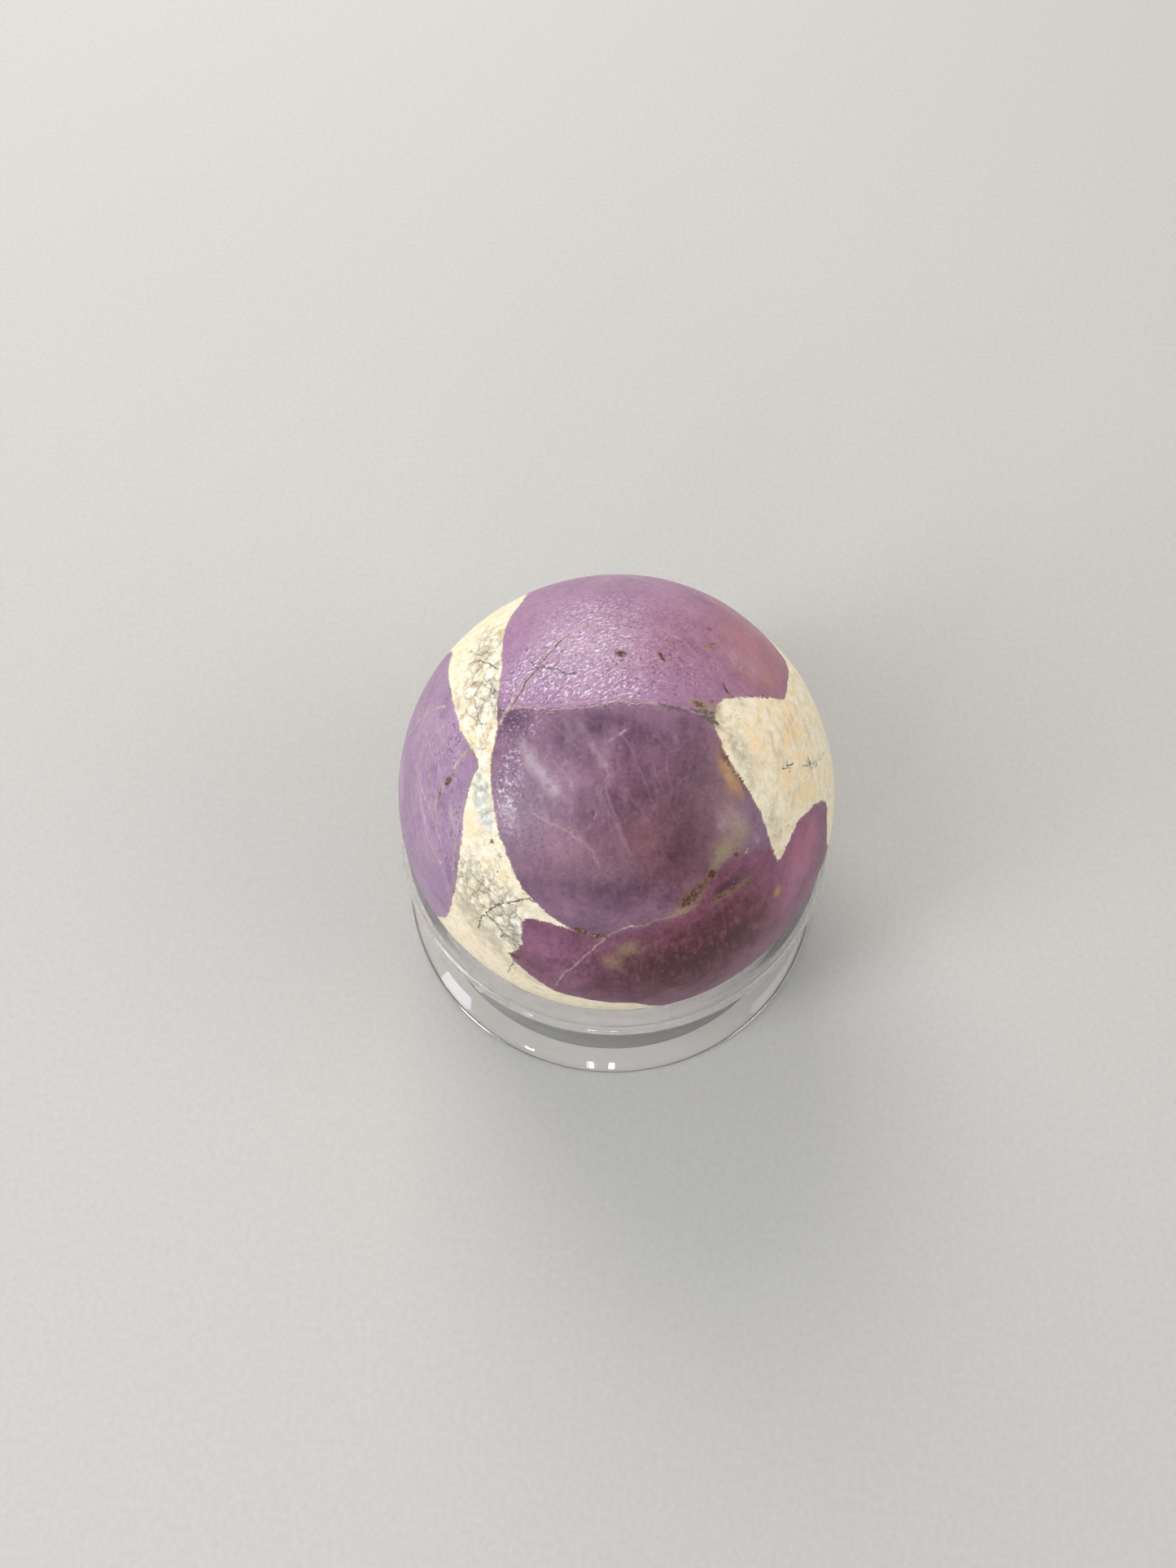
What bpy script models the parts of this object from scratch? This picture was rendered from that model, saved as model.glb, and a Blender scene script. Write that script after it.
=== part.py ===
"""A polished ball of purpurite in its pale matrix, resting on a clear moulded ring stand.

Units are metres and +Z is up. The origin is on the surface that the stand rests on, at the
middle of the ring. The side that shows the purple blocks best faces -Y.
"""
import math

import bmesh
import bpy
from mathutils import Euler, Matrix, Vector

MM = 0.001

# The ball, and the gap that keeps the two solids apart where it rests on the ring
BALL_RADIUS = 22.5 * MM
BALL_CENTRE_HEIGHT = 24.3 * MM
BALL_SEGMENTS = 64
BALL_RINGS = 32
SEAT_GAP = 0.3 * MM

# The ring: an hourglass tube with a rounded rim and a wider foot. The inner wall bulges inward with
# one curve above the waist, which carries the ball, and a gentler one down to the foot's flat
RING_HEIGHT = 16.6 * MM
WAIST_HEIGHT = 8.1 * MM
WAIST_WALL = 1.9 * MM
INNER_CURVE = 10.5 * MM
FOOT_CURVE = 14.8 * MM
RIM_ROUND = 0.6 * MM
FOOT_RADIUS = 24.7 * MM
FOOT_ROUND = 0.5 * MM
RING_STEPS = 64
WALL_POINTS = 7
INNER_POINTS = 7
ROUND_POINTS = 4

# The open pits that the polish left, as directions from the ball's middle in degrees, with the
# length and width of each in millimetres and the turn of its length from level
PIT_DEPTH = 0.35 * MM
PITS = {
    "beside_the_stain": (-58, 42, 0.9, 0.7, 30),
    "above_the_stain": (-48, 43, 0.7, 0.5, 0),
    "where_three_blocks_meet": (-10, 69, 1.3, 0.9, 20),
    "under_the_right_patch": (9, 65, 1.4, 0.5, 70),
    "at_the_matrix_tip": (-94, 31, 1.6, 0.6, 5),
    "low_in_the_matrix": (-113, 15, 1.0, 0.8, 40),
}

# How near two points of a swept outline have to be to become one
MERGE_DISTANCE = 0.001 * MM

PURPURITE_COLOUR = (0.27, 0.12, 0.22, 1.0)
CLEAR_PLASTIC_COLOUR = (0.92, 0.93, 0.94, 1.0)
CLEAR_PLASTIC_IOR = 1.49


def clear_scene():
    """Removes every object, so that the script can run twice."""
    for item in list(bpy.data.objects):
        bpy.data.objects.remove(item, do_unlink=True)


def make_collection(name):
    """A collection of the given name in the scene."""
    group = bpy.data.collections.new(name)
    bpy.context.scene.collection.children.link(group)
    return group


def make_material(name, colour, roughness, transmission=0.0, ior=1.5):
    """A Principled material with the finish of one sub-part."""
    material = bpy.data.materials.new(name)
    material.use_nodes = True
    shader = material.node_tree.nodes["Principled BSDF"]
    shader.inputs["Base Color"].default_value = colour
    shader.inputs["Roughness"].default_value = roughness
    shader.inputs["Metallic"].default_value = 0.0
    shader.inputs["Transmission Weight"].default_value = transmission
    shader.inputs["IOR"].default_value = ior
    return material


def add_object(name, mesh_builder, group, material=None):
    """A new object whose mesh is the given bmesh, which is used up."""
    mesh = bpy.data.meshes.new(name)
    mesh_builder.to_mesh(mesh)
    mesh_builder.free()
    item = bpy.data.objects.new(name, mesh)
    group.objects.link(item)
    if material:
        mesh.materials.append(material)
    return item


def direction(azimuth, elevation):
    """The unit direction at an azimuth from +X and an elevation, both in degrees."""
    turn = Euler((0.0, -math.radians(elevation), math.radians(azimuth)))
    return turn.to_matrix() @ Vector((1.0, 0.0, 0.0))


def make_pit_cutter(group):
    """One object that holds an ellipsoid for each pit, with its middle on the ball's surface."""
    builder = bmesh.new()
    for azimuth, elevation, length, width, turn in PITS.values():
        outward = direction(azimuth, elevation)
        size = Vector((length * MM / 2, width * MM / 2, PIT_DEPTH))
        facing = outward.to_track_quat("Z", "X").to_matrix().to_4x4()
        place = Matrix.Translation(outward * BALL_RADIUS) @ facing
        place = place @ Matrix.Rotation(math.radians(turn), 4, "Z") @ Matrix.Diagonal(size.to_4d())
        bmesh.ops.create_icosphere(builder, subdivisions=1, radius=1.0, matrix=place)
    cutter = add_object("pit_cutter", builder, group)
    cutter.location.z = BALL_CENTRE_HEIGHT
    cutter.hide_render = True
    cutter.display_type = "WIRE"
    return cutter


def make_ball(group, cutter_group):
    """The polished ball, with the open pits cut out of it."""
    builder = bmesh.new()
    bmesh.ops.create_uvsphere(
        builder, u_segments=BALL_SEGMENTS, v_segments=BALL_RINGS, radius=BALL_RADIUS
    )
    material = make_material("polished purpurite", PURPURITE_COLOUR, roughness=0.32)
    ball = add_object("purpurite_ball", builder, group, material)
    ball.location.z = BALL_CENTRE_HEIGHT
    ball.data.shade_smooth()
    pits = ball.modifiers.new("pits", "BOOLEAN")
    pits.operation = "DIFFERENCE"
    pits.object = make_pit_cutter(cutter_group)
    return ball


def arc(centre, radius, start, end, points):
    """Points along an arc from one angle to another in radians, without the last one."""
    steps = (start + (end - start) * step / points for step in range(points))
    return [(centre[0] + radius * math.cos(a), centre[1] + radius * math.sin(a)) for a in steps]


def angle_to(centre, point):
    """The angle at which a point lies, seen from a centre."""
    return math.atan2(point[1] - centre[1], point[0] - centre[0])


def blend_radius(waist_radius, bead, bead_radius):
    """The radius of the arc that stands upright at the waist and runs smoothly into a bead."""
    inward = bead[0] - waist_radius
    rise = bead[1] - WAIST_HEIGHT
    return (inward**2 + rise**2 - bead_radius**2) / (2 * (inward + bead_radius))


def ring_section():
    """Half of the ring's section as (radius, height) points, from the rim's outside down."""
    reach = BALL_RADIUS + SEAT_GAP + INNER_CURVE
    inner_centre = (
        math.sqrt(reach**2 - (BALL_CENTRE_HEIGHT - WAIST_HEIGHT) ** 2),
        WAIST_HEIGHT,
    )
    inner_waist = inner_centre[0] - INNER_CURVE
    outer_waist = inner_waist + WAIST_WALL
    inner_foot_centre = (inner_waist + FOOT_CURVE, WAIST_HEIGHT)

    rim_rise = RING_HEIGHT - RIM_ROUND - WAIST_HEIGHT
    rim_reach = INNER_CURVE - RIM_ROUND
    rim = (inner_centre[0] - math.sqrt(rim_reach**2 - rim_rise**2), RING_HEIGHT - RIM_ROUND)
    foot = (FOOT_RADIUS - FOOT_ROUND, FOOT_ROUND)

    upper_curve = blend_radius(outer_waist, rim, RIM_ROUND)
    lower_curve = blend_radius(outer_waist, foot, FOOT_ROUND)
    upper_centre = (outer_waist + upper_curve, WAIST_HEIGHT)
    lower_centre = (outer_waist + lower_curve, WAIST_HEIGHT)

    rim_outer = angle_to(upper_centre, rim)
    foot_outer = angle_to(lower_centre, foot) + 2 * math.pi
    rim_inner = angle_to(inner_centre, rim)
    foot_inner = math.pi + math.asin(WAIST_HEIGHT / FOOT_CURVE)
    facing_foot = angle_to(foot, lower_centre)
    facing_rim = angle_to(rim, upper_centre)

    section = arc(upper_centre, upper_curve, rim_outer, math.pi, WALL_POINTS)
    section += arc(lower_centre, lower_curve, math.pi, foot_outer, WALL_POINTS)
    section += arc(foot, FOOT_ROUND, facing_foot, -math.pi / 2, ROUND_POINTS)
    section.append((foot[0], 0.0))
    section += arc(inner_foot_centre, FOOT_CURVE, foot_inner, math.pi, INNER_POINTS)
    section += arc(inner_centre, INNER_CURVE, math.pi, rim_inner, INNER_POINTS)
    section += arc(rim, RIM_ROUND, rim_inner, facing_rim, ROUND_POINTS + 1)
    return section


def make_ring(group):
    """The clear ring stand, turned from its section."""
    builder = bmesh.new()
    corners = [builder.verts.new((radius, 0.0, height)) for radius, height in ring_section()]
    for corner, following in zip(corners, corners[1:] + corners[:1]):
        builder.edges.new((corner, following))
    material = make_material(
        "clear moulded plastic", CLEAR_PLASTIC_COLOUR, 0.08, transmission=1.0, ior=CLEAR_PLASTIC_IOR
    )
    ring = add_object("ring_stand", builder, group, material)
    turned = ring.modifiers.new("turned", "SCREW")
    turned.steps = RING_STEPS
    turned.render_steps = RING_STEPS
    turned.use_merge_vertices = True
    turned.merge_threshold = MERGE_DISTANCE
    turned.use_smooth_shade = True
    return ring


def main():
    clear_scene()
    specimen = make_collection("purpurite_specimen")
    cutters = make_collection("cutters")
    make_ball(specimen, cutters)
    make_ring(specimen)


main()
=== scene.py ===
"""A polished purpurite ball on a clear ring stand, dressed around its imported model.

The ball's blocks, bands, seams and flaws are drawn as outlines on its surface. The ones that the
photograph shows are named by their place in it and are cast on to the ball from the camera.
"""
import math

import bmesh
import bpy
import numpy as np
from mathutils import Matrix, Vector


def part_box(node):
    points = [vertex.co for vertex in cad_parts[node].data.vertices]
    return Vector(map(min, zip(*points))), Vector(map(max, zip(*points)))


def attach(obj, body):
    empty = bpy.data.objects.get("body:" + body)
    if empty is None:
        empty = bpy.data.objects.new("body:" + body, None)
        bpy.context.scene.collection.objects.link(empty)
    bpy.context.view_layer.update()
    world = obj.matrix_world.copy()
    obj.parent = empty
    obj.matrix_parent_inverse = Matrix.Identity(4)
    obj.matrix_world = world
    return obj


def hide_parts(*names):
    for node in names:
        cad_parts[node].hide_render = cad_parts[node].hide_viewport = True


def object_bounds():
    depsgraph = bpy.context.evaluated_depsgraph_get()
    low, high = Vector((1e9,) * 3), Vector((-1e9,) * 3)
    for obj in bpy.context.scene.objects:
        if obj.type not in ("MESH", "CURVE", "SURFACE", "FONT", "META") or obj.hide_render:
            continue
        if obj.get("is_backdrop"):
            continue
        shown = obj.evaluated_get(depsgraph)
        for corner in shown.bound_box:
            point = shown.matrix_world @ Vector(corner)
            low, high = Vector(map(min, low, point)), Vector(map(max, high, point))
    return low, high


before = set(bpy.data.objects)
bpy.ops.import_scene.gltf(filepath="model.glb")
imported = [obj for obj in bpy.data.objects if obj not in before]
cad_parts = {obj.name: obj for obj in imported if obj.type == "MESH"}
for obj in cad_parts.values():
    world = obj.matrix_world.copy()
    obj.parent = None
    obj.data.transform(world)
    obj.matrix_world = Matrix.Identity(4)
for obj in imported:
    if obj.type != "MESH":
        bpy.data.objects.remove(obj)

bl_info = {
    "name": "Purpurite Specimen",
    "version": (1, 0, 0),
    "blender": (4, 5, 0),
    "location": "3D View > Sidebar > Specimen",
    "description": "Makes a polished purpurite ball, its clear ring stand and a plain stage",
    "category": "Add Mesh",
}

cad_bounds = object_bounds()

MM = 0.001
# Keeps a division by a length of nought from failing
TINY = 1e-9

BALL_LOW, BALL_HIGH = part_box("purpurite_ball")
BALL_RADIUS = (BALL_HIGH.z - BALL_LOW.z) / 2
BALL_CENTRE = (BALL_LOW + BALL_HIGH) / 2
RING_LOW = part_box("ring_stand")[0]

# The photograph's frame, in its own pixels, and how its camera stood to the ball
PHOTO_WIDTH, PHOTO_HEIGHT = 1445, 1927
FOCAL_PIXELS = 1450
SENSOR_MM = 36.0
CAMERA_TILT = math.radians(66)
CAMERA_REACH = 5.505 * BALL_RADIUS
CAMERA_CLIP = CAMERA_REACH / 20
AIM_LEFT, AIM_UP = 34.1, 8.0


def camera_place():
    """The camera's matrix: zero roll, looking down at the ball, a little to its left."""
    outward = Vector((0.0, -math.cos(CAMERA_TILT), math.sin(CAMERA_TILT)))
    across = Vector((1.0, 0.0, 0.0))
    above = across.cross(-outward)
    aim = -outward - across * (AIM_LEFT / FOCAL_PIXELS) + above * (AIM_UP / FOCAL_PIXELS)
    turn = aim.to_track_quat("-Z", "Y").to_matrix().to_4x4()
    return Matrix.Translation(BALL_CENTRE + outward * CAMERA_REACH) @ turn


CAMERA_PLACE = camera_place()


def seen(x, y):
    """The direction from the ball's middle to the surface point that a pixel shows."""
    sight = Vector((x - PHOTO_WIDTH / 2, PHOTO_HEIGHT / 2 - y, -FOCAL_PIXELS)).normalized()
    sight = CAMERA_PLACE.to_3x3() @ sight
    start = CAMERA_PLACE.translation - BALL_CENTRE
    nearest = start.dot(sight)
    inside = nearest**2 - start.length_squared + BALL_RADIUS**2
    reach = -nearest - math.sqrt(max(inside, 0.0))
    return (start + sight * reach).normalized()


def direction(azimuth, elevation):
    """The direction at an azimuth from +X and an elevation, both in degrees."""
    turn, rise = math.radians(azimuth), math.radians(elevation)
    level = math.cos(rise)
    return Vector((level * math.cos(turn), level * math.sin(turn), math.sin(rise)))


def seen_line(*pixels):
    """A line through the surface points that pixels show."""
    return [seen(x, y) for x, y in pixels]


def hidden_line(*angles):
    """A line that the photograph doesn't show, through pairs of azimuth and elevation."""
    return [direction(azimuth, elevation) for azimuth, elevation in angles]


# The pale matrix, as closed outlines. Each goes on round the ball past what the photograph shows
LEFT_BAND = [
    *seen_line(
        (646, 733), (632, 752), (621, 774), (617, 815), (615, 838), (611, 877), (611, 895),
        (604, 935), (604, 966), (609, 1009), (621, 1044), (637, 1082), (659, 1110), (685, 1132),
        (702, 1142), (676, 1134), (662, 1131), (646, 1129), (641, 1140), (641, 1162), (628, 1176),
        (646, 1194), (681, 1217), (708, 1225), (752, 1232), (788, 1234),
    ),
    *hidden_line((-72, -20), (-78, -42), (-100, -58), (-130, -52), (-147, -30), (-143, -8)),
    *seen_line(
        (549, 1125), (557, 1098), (561, 1073), (567, 1030), (571, 992), (580, 954), (587, 936),
        (569, 904), (557, 865), (551, 826), (555, 801),
    ),
    *hidden_line((150, 15), (141, -8), (128, -20), (122, -5), (118, 18)),
]
RIGHT_PATCH = [
    *seen_line(
        (877, 886), (884, 862), (899, 858), (924, 856), (947, 857), (963, 858), (967, 841),
        (968, 822), (964, 809), (956, 797),
    ),
    *hidden_line((50, 22), (60, 6), (52, -12), (30, -26), (8, -20), (-6, -4)),
    *seen_line(
        (1016, 1040), (1016, 1016), (1015, 986), (1003, 988), (992, 999), (981, 1010), (973, 1028),
        (964, 1045), (956, 1058), (949, 1043), (939, 1010), (931, 993), (918, 969), (899, 941),
        (885, 910),
    ),
]
BACK_BAND = [
    *hidden_line(
        (124, -4), (105, -1), (88, 5), (72, 3), (56, 12), (50, -4), (64, -14), (88, -12),
        (108, -22), (130, -18),
    ),
]
MATRIX_OUTLINES = (LEFT_BAND, RIGHT_PATCH, BACK_BAND)

# The blocks of purpurite whose colour differs from the middle block's, each with how far its edge
# is blurred in millimetres
BLOCKS = {
    "upper": (0.08, [
        *seen_line(
            (592, 860), (614, 870), (659, 870), (703, 869), (762, 862), (800, 865), (828, 870),
            (862, 877), (895, 872), (947, 868), (985, 850),
        ),
        *hidden_line((34, 14), (60, 2), (90, -4), (118, -8), (138, 0), (144, 22)),
        *seen_line((590, 790), (588, 830)),
    ]),
    "left": (0.2, [
        *seen_line(
            (575, 785), (580, 820), (585, 870), (592, 910), (598, 945), (590, 990), (588, 1040),
            (585, 1090), (570, 1135), (545, 1145),
        ),
        *hidden_line((-150, -14), (-165, -34), (170, -38), (150, -20), (143, 2)),
    ]),
    "lower": (0.4, [
        *seen_line(
            (640, 1120), (680, 1137), (701, 1142), (735, 1151), (792, 1137), (830, 1125),
            (851, 1102), (862, 1089), (880, 1072), (904, 1052), (943, 1043), (960, 1040),
            (990, 1000), (1019, 980),
        ),
        *hidden_line((2, -2), (2, -24), (-30, -48), (-80, -52), (-108, -36)),
        *seen_line((640, 1205), (630, 1150)),
    ]),
}

# Seams healed with pale mineral, as open lines with a half width in millimetres and a strength
PALE_SEAMS = {
    "top_crack_filling": (0.16, 0.7, seen_line(
        (612, 890), (623, 872), (632, 861), (642, 849), (647, 838), (659, 824), (667, 814),
        (676, 801), (689, 788), (705, 776), (719, 766),
    )),
    "top_crack_end": (0.07, 0.35, seen_line(
        (719, 766), (733, 755), (748, 744), (766, 733),
    )),
    "top_crack_dust": (0.07, 0.5, seen_line(
        (600, 849), (617, 845), (630, 845), (641, 843),
    )),
    "under_upper_block": (0.06, 0.8, seen_line(
        (616, 872), (641, 869), (682, 871), (721, 868), (745, 864), (762, 861), (784, 865),
        (805, 865), (828, 870), (843, 874), (862, 877), (880, 880),
    )),
    "lower_block_seam_left": (0.1, 0.6, seen_line(
        (682, 1211), (694, 1196), (709, 1184), (726, 1169), (739, 1157), (751, 1148), (763, 1142),
        (778, 1138), (792, 1137),
    )),
    "lower_block_seam_right": (0.13, 0.4, seen_line(
        (792, 1137), (806, 1131), (830, 1124), (843, 1119), (855, 1112),
    )),
    "matrix_tip": (0.08, 0.8, seen_line(
        (690, 1136), (702, 1142), (716, 1145), (735, 1151), (748, 1150),
    )),
    "middle_block_seam": (0.12, 0.45, seen_line(
        (656, 1000), (668, 1007), (684, 1014), (701, 1025), (714, 1034),
    )),
    "middle_block_seam_end": (0.09, 0.4, seen_line(
        (721, 1037), (727, 1046), (732, 1055), (737, 1066),
    )),
    "left_block_seam": (0.17, 0.7, seen_line(
        (573, 924), (565, 932), (556, 951), (549, 962), (540, 976), (531, 996),
    )),
    "left_block_thread": (0.1, 0.7, seen_line(
        (511, 942), (515, 958), (520, 975), (529, 996),
    )),
    "left_block_thread_low": (0.1, 0.6, seen_line(
        (530, 999), (535, 1014), (540, 1028), (543, 1042),
    )),
    "left_block_curl": (0.08, 0.7, seen_line(
        (541, 876), (537, 888), (543, 905), (551, 918),
    )),
    "left_block_streak": (0.08, 0.7, seen_line(
        (531, 904), (527, 919), (524, 938), (531, 962),
    )),
    "left_block_streak_low": (0.08, 0.6, seen_line(
        (566, 1000), (559, 1038), (557, 1072), (562, 1100),
    )),
    "left_block_cross": (0.11, 0.75, seen_line(
        (503, 903), (514, 887), (530, 873), (547, 868),
    )),
    "left_block_limb": (0.08, 0.6, seen_line(
        (500, 985), (505, 1015), (513, 1046), (524, 1078),
    )),
    "left_block_beads": (0.12, 0.7, seen_line(
        (522, 1019), (527, 1034), (535, 1048), (542, 1062), (546, 1073),
    )),
    "middle_streak": (0.05, 0.35, seen_line(
        (669, 876), (682, 892), (698, 908), (712, 922),
    )),
    "back_seam": (0.1, 0.8, hidden_line(
        (92, 36), (88, 24), (94, 14), (90, 4),
    )),
    "under_seam": (0.12, 0.8, hidden_line(
        (-50, -10), (-25, -24), (0, -40), (30, -48), (80, -44), (110, -24),
    )),
    "rear_branch": (0.06, 0.6, hidden_line(
        (88, 24), (78, 30), (66, 32),
    )),
    "far_right_seam": (0.08, 0.6, hidden_line(
        (14, -30), (4, -22), (-8, -20), (-16, -12),
    )),
    "rear_seam": (0.08, 0.7, hidden_line(
        (-178, -44), (165, -20), (168, 4), (160, 18),
    )),
}

# Open hairline cracks, dark with dirt
DARK_CRACKS = {
    "matrix_crack": (0.055, 1.0, seen_line(
        (587, 1140), (590, 1130), (596, 1123), (603, 1117), (612, 1113), (623, 1110), (637, 1107),
        (646, 1104), (657, 1109),
    )),
    "matrix_crack_branch": (0.06, 0.8, seen_line(
        (596, 1123), (605, 1131), (612, 1137), (617, 1146), (616, 1153),
    )),
    "matrix_crack_thread": (0.035, 0.5, seen_line(
        (628, 1112), (632, 1126), (637, 1132),
    )),
    "matrix_crack_low": (0.035, 0.5, seen_line(
        (603, 1117), (609, 1125), (621, 1129), (630, 1139), (634, 1150),
    )),
    "low_band_hair_left": (0.03, 0.5, seen_line(
        (561, 1097), (570, 1106), (580, 1117), (590, 1130),
    )),
    "low_band_hair": (0.03, 0.55, seen_line(
        (570, 1075), (580, 1086), (590, 1095), (600, 1104), (609, 1112),
    )),
    "low_band_hair_right": (0.03, 0.5, seen_line(
        (580, 1074), (592, 1086), (604, 1096), (619, 1104),
    )),
    "low_band_hair_low": (0.035, 0.6, seen_line(
        (600, 1124), (609, 1135), (618, 1146), (630, 1157), (636, 1168),
    )),
    "band_line": (0.045, 0.8, seen_line(
        (575, 817), (584, 812), (596, 814), (612, 822),
    )),
    "band_line_low": (0.04, 0.6, seen_line(
        (585, 869), (588, 882), (592, 897), (596, 910),
    )),
    "band_line_high": (0.04, 0.6, seen_line(
        (578, 800), (588, 806), (600, 801), (613, 794),
    )),
    "band_line_middle": (0.04, 0.6, seen_line(
        (579, 842), (590, 838), (599, 844), (607, 855), (604, 868),
    )),
    "top_crack": (0.06, 1.0, seen_line(
        (628, 868), (634, 860), (641, 848), (648, 836), (662, 819), (669, 810), (682, 795),
        (692, 785), (700, 779),
    )),
    "top_crack_branch": (0.055, 0.8, seen_line(
        (650, 813), (659, 819), (669, 820), (685, 822), (694, 827), (709, 827),
    )),
    "bottom_matrix_crack": (0.04, 0.8, seen_line(
        (630, 1182), (627, 1190), (624, 1196),
    )),
    "junction_crack": (0.12, 0.75, seen_line(
        (811, 865), (820, 868), (832, 871), (847, 875),
    )),
    "patch_crack": (0.035, 0.5, seen_line(
        (990, 941), (1003, 936), (1014, 924),
    )),
    "patch_star": (0.06, 0.8, seen_line(
        (962, 945), (968, 941), (975, 938),
    )),
    "patch_star_cross": (0.05, 0.7, seen_line(
        (966, 934), (969, 941), (970, 949),
    )),
    "patch_star_right": (0.06, 0.8, seen_line(
        (987, 941), (996, 938), (1004, 940),
    )),
    "patch_star_right_cross": (0.05, 0.7, seen_line(
        (993, 931), (996, 939), (998, 946),
    )),
    "back_crack": (0.05, 0.8, hidden_line(
        (60, -4), (72, -7), (84, -3), (98, -10), (112, -12),
    )),
}

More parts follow.
